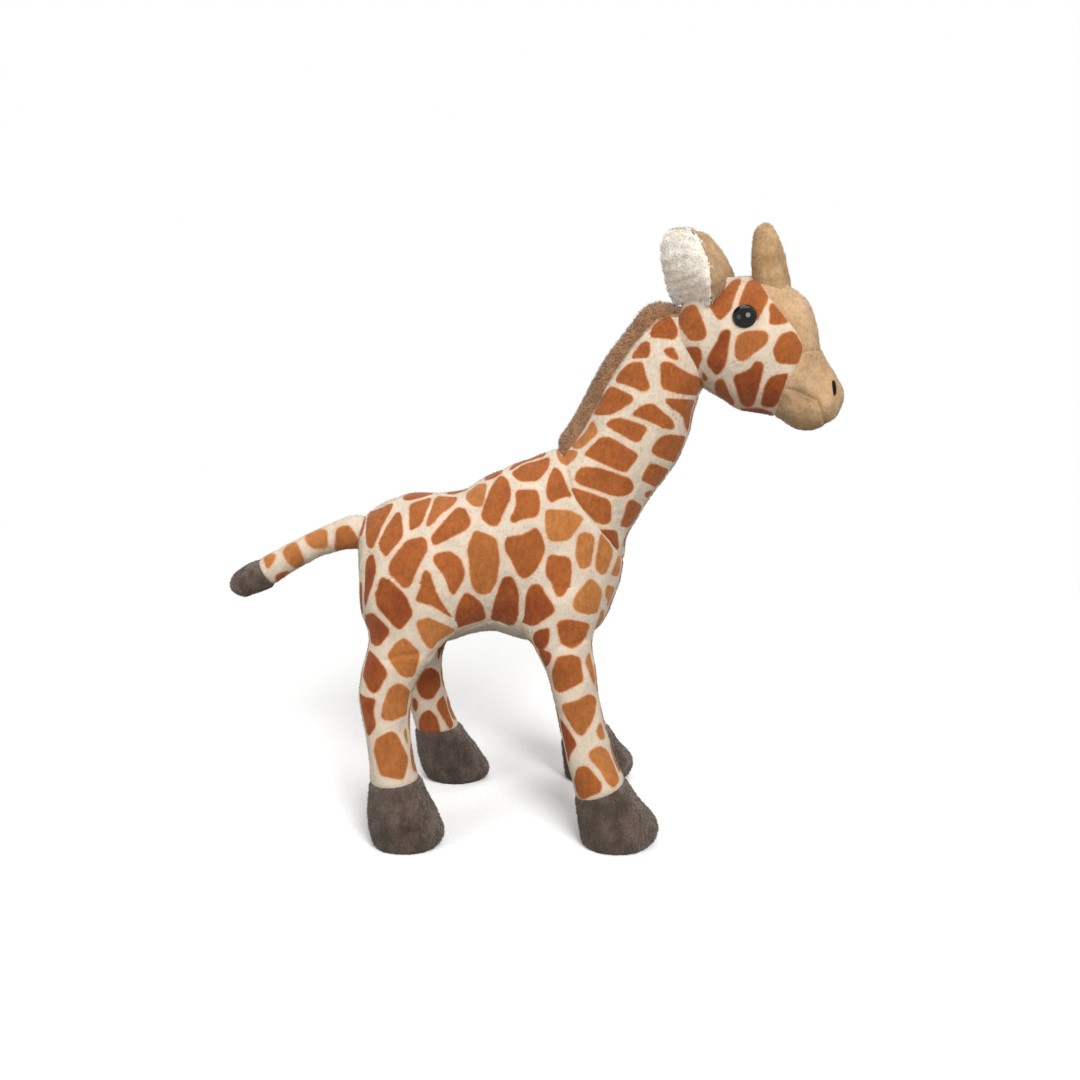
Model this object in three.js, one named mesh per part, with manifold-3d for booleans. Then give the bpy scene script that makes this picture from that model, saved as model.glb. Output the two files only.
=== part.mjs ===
// A standing plush giraffe, about 300 mm tall, sewn from short-pile fabric over fibre filling.
// Millimetres, +X towards the nose, +Y to the toy's left, +Z up, the floor at zero.
import * as THREE from 'three';
import { mergeVertices } from 'three/addons/utils/BufferGeometryUtils.js';
import Module from 'manifold-3d';

const wasm = await Module();
wasm.setup();

// Fabric, seams and joints
const clothThickness = 2;
const seamGap = 0.3;
const swingGap = 0.6;
const nodGap = 0.9;
const fillingGap = 0.5;
const overrun = 60;
const neckSwingAngle = 8;
const headNodAngle = 10;
const tailWagAngle = 20;
const legSwingAngle = 10;
const earFlopAngle = 10;

// Body
const bodyLength = 135;
const bodyDepth = 78;
const bodyWidth = 64;
const bellyHeight = 100;
const rumpRise = 36;
const bellyPanelWidth = 43;
const neckOpening = 22;

// Neck and mane
const neckReach = 70;
const neckRise = 74;
const neckDepth = 50;
const neckWidth = 45;
const neckRoot = 9;
const maneHeight = 5.5;
const maneWidth = 11.6;
const maneRootDepth = 4;
const maneEndHeight = 3;
const maneEndRise = 2.4;

// Head
const headLength = 82;
const headHeight = 73;
const headDepth = 64;
const headWidth = 55;
const headTurnAngle = 16;
const foreheadWidth = 29;
const muzzleSeamHeading = -21.5;

// Ears and horns
const earHeight = 34;
const earWidth = 32;
const earDepth = 21;
const earThickness = 4;
const earLiningThickness = 1.5;
const earSpacing = 42;
const earTurnAngle = 42;
const hornHeight = 26.5;
const hornDiameter = 15;
const hornSpacing = 22;
const hornLeanAngle = 7;
const hornRoot = 8;

// Eyes, nostrils
const eyeDiameter = 11.8;
const eyeDomeHeight = 4.6;
const eyeRimHeight = 1;
const eyePostDiameter = 3.6;
const eyePostLength = 11;
const eyePostClearance = 0.3;
const eyeElevationAngle = 22;
const eyeForwardAngle = 6;
const washerDiameter = 13;
const washerThickness = 1.4;
const washerHubDiameter = 6.5;
const washerHubLength = 3;
const washerSetBack = 3.4;
const nostrilLength = 7.4;
const nostrilWidth = 1.6;
const nostrilLeanAngle = 6;

// Tail
const tailLength = 66.5;
const tailDrop = 28.5;
const tailDepth = 15.4;

// Legs
const hindHipRise = 10;
const foreHipRise = 8;
const hipSpacing = 46;
const footSpacing = 80;
const hindLegDepth = 40;
const foreLegDepth = 31;
const legWidth = 27;
const hindHoofSeam = 33;
const hindHoofSeamLean = 5;
const foreHoofSeam = 30;
const foreHoofSeamLean = 19;
const leftHindStep = 5;
const leftHindSwing = 7.4;
const leftForeStep = 0;
const leftForeSwing = -3.6;
const soleCut = 0.5;

// How many points go round each form
const bodyAround = 22;
const headAround = 20;
const limbAround = 14;
const smallAround = 12;
const neckAround = 18;
const headCoreAround = 14;
const eyeAround = 16;

// Angles, in degrees, of the rings that round off a dome from its foot towards its pole
const domeTurns = [0, 24, 46, 66];
const hipTurns = [60, 30];
const eyeTurns = [0, 20, 40, 60, 76];

// Rings along the body, as [along, up, depth, width] shares of its four sizes and a lean in degrees
const bodyShares = [
  [-0.621, 0.462, 0.359, 0.375, 1],
  [-0.597, 0.426, 0.699, 0.688, -1],
  [-0.542, 0.407, 0.866, 0.875, -2],
  [-0.445, 0.412, 0.964, 0.984, 0],
  [-0.319, 0.421, 0.970, 1.000, 2],
  [-0.223, 0.455, 0.937, 0.984, 3],
  [-0.134, 0.502, 1.010, 0.969, 3],
  [-0.031, 0.516, 1.149, 0.969, 3],
  [0.088, 0.528, 1.249, 0.953, 8],
  [0.168, 0.590, 1.199, 0.922, 16],
  [0.212, 0.712, 1.019, 0.875, 23],
  [0.234, 0.816, 0.845, 0.828, 30],
  [0.245, 0.897, 0.701, 0.781, 36],
];

// Places along the body, as shares of its length
const rumpShare = -0.6341;
const bellyPanelShares = [-0.4415, 0.0770];
const hindHipShare = -0.4230;
const foreHipShare = 0.1141;

// Rings along the neck, from the shoulder seam towards the middle of the head
const neckShares = [
  [0.000, 0.000, 1.094, 1.111, 36],
  [0.086, 0.132, 0.990, 1.044, 46],
  [0.189, 0.277, 0.972, 1.000, 53],
  [0.288, 0.429, 0.990, 0.978, 58],
  [0.364, 0.588, 0.969, 0.956, 59],
  [0.424, 0.743, 0.885, 0.911, 59],
  [0.511, 0.885, 0.821, 0.867, 56],
  [0.661, 1.030, 0.860, 0.822, 53],
];

// Rings along the head, about its middle, from the back of the skull to the nose
const headShares = [
  [-0.329, 0.062, 0.391, 0.618, 0],
  [-0.238, 0.062, 0.672, 0.836, 1],
  [-0.122, 0.042, 0.878, 0.964, 0],
  [0.012, 0.011, 0.988, 1.000, -2],
  [0.134, -0.011, 1.002, 0.982, -4],
  [0.232, -0.048, 0.955, 0.909, -8],
  [0.314, -0.105, 0.887, 0.818, -11],
  [0.370, -0.197, 0.765, 0.727, -13],
  [0.415, -0.284, 0.628, 0.636, -11],
  [0.473, -0.333, 0.517, 0.593, -10],
  [0.537, -0.360, 0.372, 0.545, -10],
  [0.581, -0.368, 0.249, 0.418, -8],
];
// The chin panel's side outline, from the muzzle seam along the mouth and down in front
const chinShares = [
  [0.180, -0.200],
  [0.305, -0.266],
  [0.390, -0.288],
  [0.474, -0.337],
  [0.500, -0.400],
  [0.545, -0.540],
  [0.545, -0.800],
  [0.180, -0.800],
];
const skullPoleShares = [-0.390, 0.055];
const nosePoleShares = [0.609, -0.363];
// Places on the head in its side view, as [along, up] shares of its length and height
const eyePlaceShares = [0.0500, 0.1863];
const nostrilPlaceShares = [0.5524, -0.2685];
const earPlaceShares = [-0.2744, 0.2808];
const hornPlaceShares = [0.1744, 0.4110];
const muzzleSeamShares = [0.3024, -0.2192];
const foreheadCornerShares = [0.0854, 0.0274];

// Rings down a leg: [forward share of hip height, height share of it, depth share, width share]
const hindLegShares = [
  [0.000, 1.000, 1.000, 1.000],
  [-0.051, 0.856, 0.855, 0.963],
  [-0.091, 0.778, 0.750, 0.904],
  [-0.120, 0.682, 0.660, 0.852],
  [-0.118, 0.578, 0.585, 0.815],
  [-0.106, 0.455, 0.542, 0.793],
  [-0.089, 0.333, 0.580, 0.815],
  [-0.068, 0.227, 0.710, 0.890],
  [-0.045, 0.125, 0.860, 0.980],
  [-0.029, 0.059, 0.900, 0.978],
  [-0.029, 0.027, 0.840, 0.904],
  [-0.036, 0.000, 0.700, 0.756],
];
const foreLegShares = [
  [0.000, 1.000, 1.000, 0.963],
  [0.020, 0.902, 0.916, 0.933],
  [0.058, 0.785, 0.781, 0.859],
  [0.075, 0.694, 0.735, 0.815],
  [0.096, 0.597, 0.723, 0.800],
  [0.134, 0.435, 0.774, 0.815],
  [0.185, 0.290, 0.871, 0.874],
  [0.230, 0.190, 1.032, 0.948],
  [0.272, 0.100, 1.226, 1.000],
  [0.274, 0.046, 1.194, 0.978],
  [0.269, 0.023, 1.129, 0.919],
  [0.255, 0.000, 0.903, 0.770],
];

// Rings along the tail: [back share of its length, drop share, depth share] and a heading in degrees
const tailShares = [
  [-0.040, -0.030, 1.060, 184],
  [0.060, -0.005, 1.080, 188],
  [0.143, 0.040, 0.960, 192],
  [0.308, 0.185, 0.860, 202],
  [0.456, 0.354, 0.844, 207],
  [0.602, 0.547, 0.896, 211],
  [0.707, 0.702, 0.935, 212],
  [0.827, 0.842, 1.000, 207],
  [0.917, 0.940, 0.896, 202],
  [0.970, 0.982, 0.584, 200],
];
const tailRootShare = 0.641;
const tailSeamShare = 0.707;
const tailSeamDropShare = 0.702;
const tailSeamHeading = 212;

// Rings up an ear: [height share, lean-back share of the height, width share, depth share]
const earShares = [
  [0.000, -0.10, 0.66, 0.70],
  [0.110, -0.07, 0.82, 0.88],
  [0.240, 0.00, 0.93, 1.00],
  [0.420, 0.05, 1.00, 1.00],
  [0.560, 0.08, 0.95, 0.89],
  [0.740, 0.12, 0.72, 0.71],
  [0.880, 0.14, 0.42, 0.50],
  [0.965, 0.12, 0.20, 0.25],
];
const earDishShare = 0.5;
const hornShares = [
  [0.00, 1.00],
  [0.20, 0.96],
  [0.45, 0.90],
  [0.68, 0.76],
  [0.85, 0.54],
  [0.96, 0.28],
];

// Surface materials
function fabric(name, color, roughness = 0.95) {
  const material = new THREE.MeshStandardMaterial({ color, roughness, metalness: 0 });
  material.name = name;
  return material;
}
const printPlush = () => fabric('print_plush', 0xb5652f);
const creamPlush = () => fabric('cream_plush', 0xe8d9be);
const tanPlush = () => fabric('tan_plush', 0xcda676);
const darkPlush = () => fabric('dark_plush', 0x5f534a);
const maneFur = () => fabric('mane_fur', 0x8f6248);
const liningFur = () => fabric('lining_fur', 0xd2ccc0);
const fibreFill = () => fabric('fibre_fill', 0xf2f0ea, 1);
const eyePlastic = () => fabric('eye_plastic', 0x0b0b0d, 0.08);
const washerPlastic = () => fabric('washer_plastic', 0xe6e6e2, 0.5);
const blackThread = () => fabric('black_thread', 0x1a1614, 0.8);

// A point in the side plane, and one with a place to the side
const inSide = (x, z) => new THREE.Vector3(x, 0, z);
const at = (x, y, z) => new THREE.Vector3(x, y, z);
const radians = THREE.MathUtils.degToRad;

// A ring is an oval across the path: its depth lies in the side plane and leans back by the angle
function ring(center, depth, width, lean) {
  const a = radians(lean);
  const up = inSide(-Math.sin(a), Math.cos(a));
  return { center, up, depth, width };
}

// Closes rings of points, each a list of the same length, with a pole at each end
function closedLoft(startPole, loops, endPole) {
  const around = loops[0].length;
  const points = [startPole, ...loops.flat(), endPole];
  const last = points.length - 1;
  const faces = [];
  for (let j = 0; j < around; j += 1) {
    const k = (j + 1) % around;
    faces.push(0, 1 + k, 1 + j);
    for (let i = 0; i < loops.length - 1; i += 1) {
      const low = 1 + i * around;
      const high = low + around;
      faces.push(low + j, low + k, high + k);
      faces.push(low + j, high + k, high + j);
    }
    const top = 1 + (loops.length - 1) * around;
    faces.push(last, top + j, top + k);
  }
  const geometry = new THREE.BufferGeometry().setFromPoints(points);
  geometry.setIndex(faces);
  return facingOut(geometry);
}

// Turns every face round when the enclosed volume comes out negative
function facingOut(geometry) {
  const p = geometry.attributes.position;
  const index = geometry.index.array;
  const [a, b, c] = [new THREE.Vector3(), new THREE.Vector3(), new THREE.Vector3()];
  let volume = 0;
  for (let i = 0; i < index.length; i += 3) {
    a.fromBufferAttribute(p, index[i]);
    b.fromBufferAttribute(p, index[i + 1]);
    c.fromBufferAttribute(p, index[i + 2]);
    volume += a.dot(b.cross(c));
  }
  if (volume < 0) {
    for (let i = 0; i < index.length; i += 3) {
      [index[i + 1], index[i + 2]] = [index[i + 2], index[i + 1]];
    }
  }
  geometry.computeVertexNormals();
  return geometry;
}

// A stuffed form is a loft of oval rings between two poles
function stuffedForm(startPole, rings, endPole, around) {
  const loops = rings.map(({ center, up, depth, width }) => {
    return Array.from({ length: around }, (unused, j) => {
      const turn = (2 * Math.PI * j) / around;
      const point = center.clone().addScaledVector(up, (depth / 2) * Math.cos(turn));
      point.y += (width / 2) * Math.sin(turn);
      return point;
    });
  });
  return closedLoft(startPole, loops, endPole);
}

// Moves a form's surface along its normals, out for a clearance and in for a lining
function offset(form, distance) {
  const moved = form.clone();
  const p = moved.attributes.position;
  const n = form.attributes.normal;
  for (let i = 0; i < p.count; i += 1) {
    p.setXYZ(
      i,
      p.getX(i) + distance * n.getX(i),
      p.getY(i) + distance * n.getY(i),
      p.getZ(i) + distance * n.getZ(i),
    );
  }
  return moved;
}

// Booleans on closed geometries
function solid(geometry) {
  const bare = geometry.clone();
  bare.deleteAttribute('normal');
  bare.deleteAttribute('uv');
  const merged = mergeVertices(bare);
  return new wasm.Manifold(new wasm.Mesh({
    numProp: 3,
    vertProperties: new Float32Array(merged.attributes.position.array),
    triVerts: new Uint32Array(merged.index.array),
  }));
}

function surface(body) {
  const { vertProperties, triVerts } = body.getMesh();
  const geometry = new THREE.BufferGeometry();
  geometry.setAttribute('position', new THREE.BufferAttribute(new Float32Array(vertProperties), 3));
  geometry.setIndex(Array.from(triVerts));
  geometry.computeVertexNormals();
  return geometry;
}

const joined = (bodies) => bodies.reduce((all, body) => all.add(body));
const without = (body, ...cutters) => cutters.reduce((rest, cutter) => rest.subtract(cutter), body);

// A box as a cutter, turned about its own corner place by the matrix
function boxCutter(low, high, matrix = new THREE.Matrix4()) {
  const size = high.clone().sub(low);
  const box = new THREE.BoxGeometry(size.x, size.y, size.z);
  box.translate((low.x + high.x) / 2, (low.y + high.y) / 2, (low.z + high.z) / 2);
  return solid(box.applyMatrix4(matrix));
}

// Everything on the far side of a plane across the side view, which leans by an angle in degrees
function beyond(x, z, lean) {
  const matrix = new THREE.Matrix4().makeRotationY(-radians(lean));
  matrix.setPosition(x, 0, z);
  return boxCutter(at(0, -overrun, -overrun), at(2 * overrun, overrun, overrun), matrix);
}

// The space that a form takes up while it turns about an axis through a pivot
function swept(form, pivot, axis, range, steps = 1) {
  const bodies = [];
  for (let i = -steps; i <= steps; i += 1) {
    const turned = form.clone();
    const matrix = new THREE.Matrix4().makeTranslation(pivot);
    matrix.multiply(new THREE.Matrix4().makeRotationAxis(axis, radians((range * i) / steps)));
    matrix.multiply(new THREE.Matrix4().makeTranslation(pivot.clone().negate()));
    bodies.push(solid(turned.applyMatrix4(matrix)));
  }
  return joined(bodies);
}

const giraffe = new THREE.Group();

function place(parent, name, body, material) {
  const mesh = new THREE.Mesh(surface(body), material);
  mesh.name = name;
  parent.add(mesh);
  return mesh;
}

const lateral = new THREE.Vector3(0, 1, 0);
const vertical = new THREE.Vector3(0, 0, 1);
const forward = new THREE.Vector3(1, 0, 0);

// Body: rings from the rump to the shoulder seam, then a dome that the neck turns on
const bodyRings = bodyShares.map(([along, up, depth, width, lean]) => {
  const center = inSide(along * bodyLength, bellyHeight + up * bodyDepth);
  return ring(center, depth * bodyDepth, width * bodyWidth, lean);
});
const shoulder = bodyRings[bodyRings.length - 1];
const shoulderPoint = shoulder.center;
const shoulderAxis = inSide(shoulder.up.z, -shoulder.up.x);
const domeInset = clothThickness + seamGap;
const shoulderRadius = shoulder.depth / 2 - domeInset;
const shoulderDome = domeTurns.map((turn) => {
  const reach = shoulderRadius * Math.sin(radians(turn));
  const center = shoulderPoint.clone().addScaledVector(shoulderAxis, reach);
  const shrink = Math.cos(radians(turn));
  const width = (shoulder.width - 2 * domeInset) * shrink;
  return { center, up: shoulder.up, depth: 2 * shoulderRadius * shrink, width };
});
const shoulderTip = shoulderPoint.clone().addScaledVector(shoulderAxis, shoulderRadius);

function bodyForm(around) {
  const rump = inSide(rumpShare * bodyLength, bellyHeight + rumpRise);
  return stuffedForm(rump, [...bodyRings, ...shoulderDome], shoulderTip, around);
}
const torso = bodyForm(bodyAround);
const torsoCore = bodyForm(smallAround);

// The neck's place in space runs from the shoulder point to the middle of the head
const headPoint = inSide(shoulderPoint.x + neckReach, shoulderPoint.z + neckRise);
const neckRings = neckShares.map(([along, up, depth, width, lean]) => {
  const center = inSide(shoulderPoint.x + along * neckReach, shoulderPoint.z + up * neckRise);
  return ring(center, depth * neckDepth, width * neckWidth, lean);
});

function neckForm(around) {
  const root = neckRings[0].center.clone().addScaledVector(shoulderAxis, -neckRoot);
  return stuffedForm(root, neckRings, headPoint, around);
}
const neck = neckForm(neckAround);
const neckCore = neckForm(smallAround);

// Head, built about its own middle and turned a little to the right
const headGroup = new THREE.Group();
headGroup.position.copy(headPoint);
headGroup.rotation.z = -radians(headTurnAngle);
headGroup.updateMatrix();
giraffe.add(headGroup);
const nodAxis = lateral.clone().applyAxisAngle(vertical, -radians(headTurnAngle));

const headRings = headShares.map(([along, up, depth, width, lean]) => {
  return ring(onHeadSide([along, up]), depth * headDepth, width * headWidth, lean);
});

function onHeadSide(shares) {
  const [along, up] = shares;
  return inSide(along * headLength, up * headHeight);
}

function headForm(around) {
  const skull = onHeadSide(skullPoleShares);
  const nose = onHeadSide(nosePoleShares);
  return stuffedForm(skull, headRings, nose, around);
}
const head = headForm(headAround);
const headCore = headForm(headCoreAround);
const headInPlace = head.clone().applyMatrix4(headGroup.matrix);

// A shaft along an axis, used where a skin stays open into its neighbour
function shaft(from, axis, diameter, length) {
  const rod = new THREE.CylinderGeometry(diameter / 2, diameter / 2, length, smallAround);
  const turn = new THREE.Quaternion().setFromUnitVectors(lateral, axis);
  rod.applyQuaternion(turn);
  const middle = from.clone().addScaledVector(axis, length / 2);
  rod.translate(middle.x, middle.y, middle.z);
  return solid(rod);
}

// Body skin, belly panel and filling
const neckHole = shaft(shoulderPoint, shoulderAxis, neckOpening, overrun);
const torsoShell = without(solid(torso), solid(offset(torsoCore, -clothThickness)), neckHole);
const bellyHalf = bellyPanelWidth / 2;
const bellyTop = bellyHeight + bodyDepth / 2;
const [bellyRear, bellyFront] = bellyPanelShares.map((share) => share * bodyLength);
const bellyPatch = boxCutter(
  at(bellyRear, -bellyHalf, 0),
  at(bellyFront, bellyHalf, bellyTop),
);
const bellyHole = boxCutter(
  at(bellyRear - seamGap, -bellyHalf - seamGap, 0),
  at(bellyFront + seamGap, bellyHalf + seamGap, bellyTop),
);
place(giraffe, 'body_skin', without(torsoShell, bellyHole), printPlush());
place(giraffe, 'belly_panel', torsoShell.intersect(bellyPatch), creamPlush());
place(giraffe, 'body_filling', solid(offset(torsoCore, -clothThickness - fillingGap)), fibreFill());

// Neck skin and filling, cut by the body it leans on and by the head it carries
function domeSpace(room) {
  const ball = new THREE.SphereGeometry(1, bodyAround, bodyAround);
  ball.scale(shoulderRadius + room, shoulder.width / 2 - domeInset + room, shoulderRadius + room);
  return solid(ball.translate(shoulderPoint.x, 0, shoulderPoint.z));
}
const shoulderHeading = THREE.MathUtils.radToDeg(Math.atan2(shoulderAxis.z, shoulderAxis.x)) + 180;
const bodyTurned = joined([
  domeSpace(swingGap),
  beyond(shoulderPoint.x, shoulderPoint.z, shoulderHeading - neckSwingAngle),
  beyond(shoulderPoint.x, shoulderPoint.z, shoulderHeading + neckSwingAngle),
]);
const headNodded = swept(offset(headInPlace, nodGap), headPoint, nodAxis, headNodAngle);
const neckInside = solid(offset(neckCore, -clothThickness));
place(giraffe, 'neck_skin', without(solid(neck), neckInside, bodyTurned, headNodded), printPlush());
const neckStuffing = solid(offset(neckCore, -clothThickness - fillingGap));
const neckFilling = without(neckStuffing, bodyTurned, domeSpace(2 * swingGap), headNodded);
place(giraffe, 'neck_filling', neckFilling, fibreFill());

// Mane: a strip that follows the back of the neck
const maneRings = neckRings.map(({ center, up, depth }, index) => {
  const height = index === neckRings.length - 1 ? maneEndHeight : maneHeight;
  const middle = center.clone().addScaledVector(up, depth / 2 + (height - maneRootDepth) / 2);
  return { center: middle, up, depth: height + maneRootDepth, width: maneWidth };
});
const maneStart = maneRings[0].center.clone().addScaledVector(shoulderAxis, -maneHeight);
const maneEnd = maneRings.at(-1).center.clone();
maneEnd.add(inSide(maneEndRise, maneEndRise));
const mane = stuffedForm(maneStart, maneRings, maneEnd, smallAround);
const neckUnderMane = solid(offset(neck, seamGap));
place(giraffe, 'mane', without(solid(mane), neckUnderMane, bodyTurned, headNodded), maneFur());

// Where a line across the head at a place in its side view meets the skin
function onHeadSkin(shares, side) {
  const target = new THREE.Mesh(head, new THREE.MeshBasicMaterial());
  const start = onHeadSide(shares);
  start.y = side * headWidth;
  const ray = new THREE.Raycaster(start, at(0, -side, 0));
  return ray.intersectObject(target)[0].point;
}

// Eye, a moulded dome with its post, and the washer that locks it inside the head
function eyeParts(side) {
  const r = eyeDiameter / 2;
  const post = eyePostDiameter / 2;
  const dome = [new THREE.Vector2(0, -eyePostLength), new THREE.Vector2(post, -eyePostLength)];
  dome.push(new THREE.Vector2(post, 0), new THREE.Vector2(r, 0));
  for (const turn of eyeTurns) {
    const a = radians(turn);
    const height = eyeRimHeight + (eyeDomeHeight - eyeRimHeight) * Math.sin(a);
    dome.push(new THREE.Vector2(r * Math.cos(a), height));
  }
  dome.push(new THREE.Vector2(0, eyeDomeHeight));
  const hole = post + eyePostClearance;
  const back = -washerSetBack - washerThickness;
  const washer = [
    new THREE.Vector2(hole, back - washerHubLength),
    new THREE.Vector2(washerHubDiameter / 2, back - washerHubLength),
    new THREE.Vector2(washerHubDiameter / 2, back),
    new THREE.Vector2(washerDiameter / 2, back),
    new THREE.Vector2(washerDiameter / 2, back + washerThickness),
    new THREE.Vector2(hole, back + washerThickness),
    new THREE.Vector2(hole, back - washerHubLength),
  ];
  const room = seamGap;
  const pocket = [
    new THREE.Vector2(0, -eyePostLength - room),
    new THREE.Vector2(washerHubDiameter / 2 + room, -eyePostLength - room),
    new THREE.Vector2(washerHubDiameter / 2 + room, back - room),
    new THREE.Vector2(washerDiameter / 2 + room, back - room),
    new THREE.Vector2(washerDiameter / 2 + room, back + washerThickness + room),
    new THREE.Vector2(hole, back + washerThickness + room),
    new THREE.Vector2(hole, eyeDomeHeight),
    new THREE.Vector2(0, eyeDomeHeight),
  ];
  const seat = onHeadSkin(eyePlaceShares, side);
  const outward = at(Math.sin(radians(eyeForwardAngle)), side, 0).normalize();
  outward.multiplyScalar(Math.cos(radians(eyeElevationAngle)));
  outward.z = Math.sin(radians(eyeElevationAngle));
  const turn = new THREE.Quaternion().setFromUnitVectors(lateral, outward.normalize());
  const made = [dome, washer, pocket].map((profile) => {
    const lathe = new THREE.LatheGeometry(profile, eyeAround).applyQuaternion(turn);
    return lathe.translate(seat.x, seat.y, seat.z);
  });
  const closed = made.map((geometry) => {
    geometry.deleteAttribute('normal');
    geometry.deleteAttribute('uv');
    return facingOut(mergeVertices(geometry));
  });
  return { eye: closed[0], washer: closed[1], pocket: closed[2], seat, outward };
}
const sides = [['right', -1], ['left', 1]];
const eyes = sides.map(([name, side]) => ({ name, side, ...eyeParts(side) }));

// Head skin, forehead panel, muzzle, chin and filling
const eyePockets = joined(eyes.map(({ pocket }) => solid(pocket)));
const eyeSeats = joined(eyes.map(({ seat, outward }) => {
  const room = seat.clone().addScaledVector(outward, -seamGap);
  return shaft(room, outward, eyeDiameter + 2 * seamGap, eyeDomeHeight);
}));
const towardsNeck = shoulderPoint.clone().sub(headPoint).normalize();
towardsNeck.applyAxisAngle(vertical, radians(headTurnAngle));
const throat = shaft(new THREE.Vector3(), towardsNeck, neckOpening, overrun);
const headShell = without(
  solid(head),
  solid(offset(headCore, -clothThickness)),
  throat,
  eyePockets,
  eyeSeats,
);
const muzzleSeam = onHeadSide(muzzleSeamShares);
const muzzleSide = beyond(muzzleSeam.x, muzzleSeam.z, muzzleSeamHeading);
const muzzleRoom = beyond(muzzleSeam.x - seamGap, muzzleSeam.z, muzzleSeamHeading);
const foreheadHalf = foreheadWidth / 2;
const foreheadCorner = onHeadSide(foreheadCornerShares);
const foreheadPatch = boxCutter(
  at(foreheadCorner.x, -foreheadHalf, foreheadCorner.z),
  at(overrun, foreheadHalf, overrun),
);
const foreheadHole = boxCutter(
  at(foreheadCorner.x - seamGap, -foreheadHalf - seamGap, foreheadCorner.z - seamGap),
  at(overrun, foreheadHalf + seamGap, overrun),
);
place(headGroup, 'head_skin', without(headShell, muzzleRoom, foreheadHole), printPlush());
place(headGroup, 'forehead_panel', without(headShell.intersect(foreheadPatch), muzzleRoom), tanPlush());
const chinBelow = (gap) => {
  const outline = chinShares.map(([along, up]) => {
    return new THREE.Vector2(along * headLength - gap, up * headHeight - gap);
  });
  const across = { depth: 2 * overrun, bevelEnabled: false };
  const block = new THREE.ExtrudeGeometry(new THREE.Shape(outline), across);
  block.rotateX(Math.PI / 2);
  return solid(block.translate(0, overrun, 0));
};
const muzzleShell = headShell.intersect(muzzleSide);
place(headGroup, 'muzzle', without(muzzleShell, chinBelow(0)), tanPlush());
place(headGroup, 'chin_panel', muzzleShell.intersect(chinBelow(seamGap)), tanPlush());
const headStuffing = solid(offset(headCore, -clothThickness - fillingGap));
place(headGroup, 'head_filling', without(headStuffing, eyePockets), fibreFill());
for (const { name, eye, washer } of eyes) {
  place(headGroup, `eye_${name}`, solid(eye), eyePlastic());
  place(headGroup, `eye_washer_${name}`, solid(washer), washerPlastic());
}

// Nostrils: a satin stitch each, lying on the muzzle
for (const [name, side] of sides) {
  const bead = new THREE.SphereGeometry(nostrilWidth, smallAround, smallAround / 2);
  bead.scale(1, 1, nostrilLength / nostrilWidth / 2);
  bead.rotateY(-radians(nostrilLeanAngle));
  const seat = onHeadSkin(nostrilPlaceShares, side);
  bead.translate(seat.x, seat.y, seat.z);
  const stitch = without(solid(bead), solid(offset(head, seamGap)));
  place(headGroup, `nostril_${name}`, stitch, blackThread());
}

// Ears: a folded back and a soft lining in its dish
function crescent(rings, outerDepth, innerDepth, side) {
  const half = smallAround;
  const rimAxis = at(Math.cos(radians(earTurnAngle)), side * Math.sin(radians(earTurnAngle)), 0);
  const backAxis = at(Math.sin(radians(earTurnAngle)), -side * Math.cos(radians(earTurnAngle)), 0);
  const loops = rings.map(({ center, width, depth }) => {
    const outer = [];
    const inner = [];
    for (let j = 0; j <= half; j += 1) {
      const turn = (Math.PI * j) / half;
      const along = (width / 2) * Math.cos(turn);
      const bulge = Math.sin(turn);
      const across = center.clone().addScaledVector(rimAxis, along);
      outer.push(across.clone().addScaledVector(backAxis, outerDepth(depth) * bulge));
      if (j > 0 && j < half) {
        inner.unshift(across.addScaledVector(backAxis, innerDepth(depth) * bulge));
      }
    }
    return [...outer, ...inner];
  });
  const middle = (loop) => {
    return loop.reduce((sum, p) => sum.add(p), new THREE.Vector3()).divideScalar(loop.length);
  };
  const first = middle(loops[0]);
  const last = middle(loops.at(-1));
  first.z -= earThickness / 4;
  last.z += earThickness / 4;
  return closedLoft(first, loops, last);
}

for (const [name, side] of sides) {
  const pivot = onHeadSide(earPlaceShares);
  pivot.y = side * earSpacing / 2;
  const ringsUp = earShares.map(([up, back, width, depth]) => {
    const center = pivot.clone().add(inSide(-back * earHeight, up * earHeight));
    return { center, width: width * earWidth, depth: depth * earDepth };
  });
  const back = crescent(ringsUp, (depth) => depth, (depth) => depth * earDishShare, side);
  const headFlopped = swept(offset(head, swingGap), pivot, forward, earFlopAngle);
  place(headGroup, `ear_${name}`, without(solid(back), headFlopped), tanPlush());
  const liningRings = ringsUp.map((r) => ({ ...r, width: r.width - earThickness / 2 }));
  const lining = crescent(
    liningRings,
    (depth) => depth * earDishShare - seamGap,
    (depth) => depth * earDishShare - seamGap - earLiningThickness,
    side,
  );
  place(headGroup, `ear_lining_${name}`, without(solid(lining), headFlopped), liningFur());
}

// Horns: short stuffed stubs seated on the forehead
for (const [name, side] of sides) {
  const rings = hornShares.map(([up, width]) => {
    const center = inSide(0, up * (hornHeight + hornRoot) - hornRoot);
    return ring(center, width * hornDiameter, width * hornDiameter, 90);
  });
  const horn = stuffedForm(inSide(0, -hornRoot - seamGap), rings, inSide(0, hornHeight), smallAround);
  horn.rotateY(-radians(hornLeanAngle));
  const seat = onHeadSide(hornPlaceShares);
  horn.translate(seat.x, side * hornSpacing / 2, seat.z);
  place(headGroup, `horn_${name}`, without(solid(horn), solid(offset(head, seamGap))), tanPlush());
}

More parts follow.
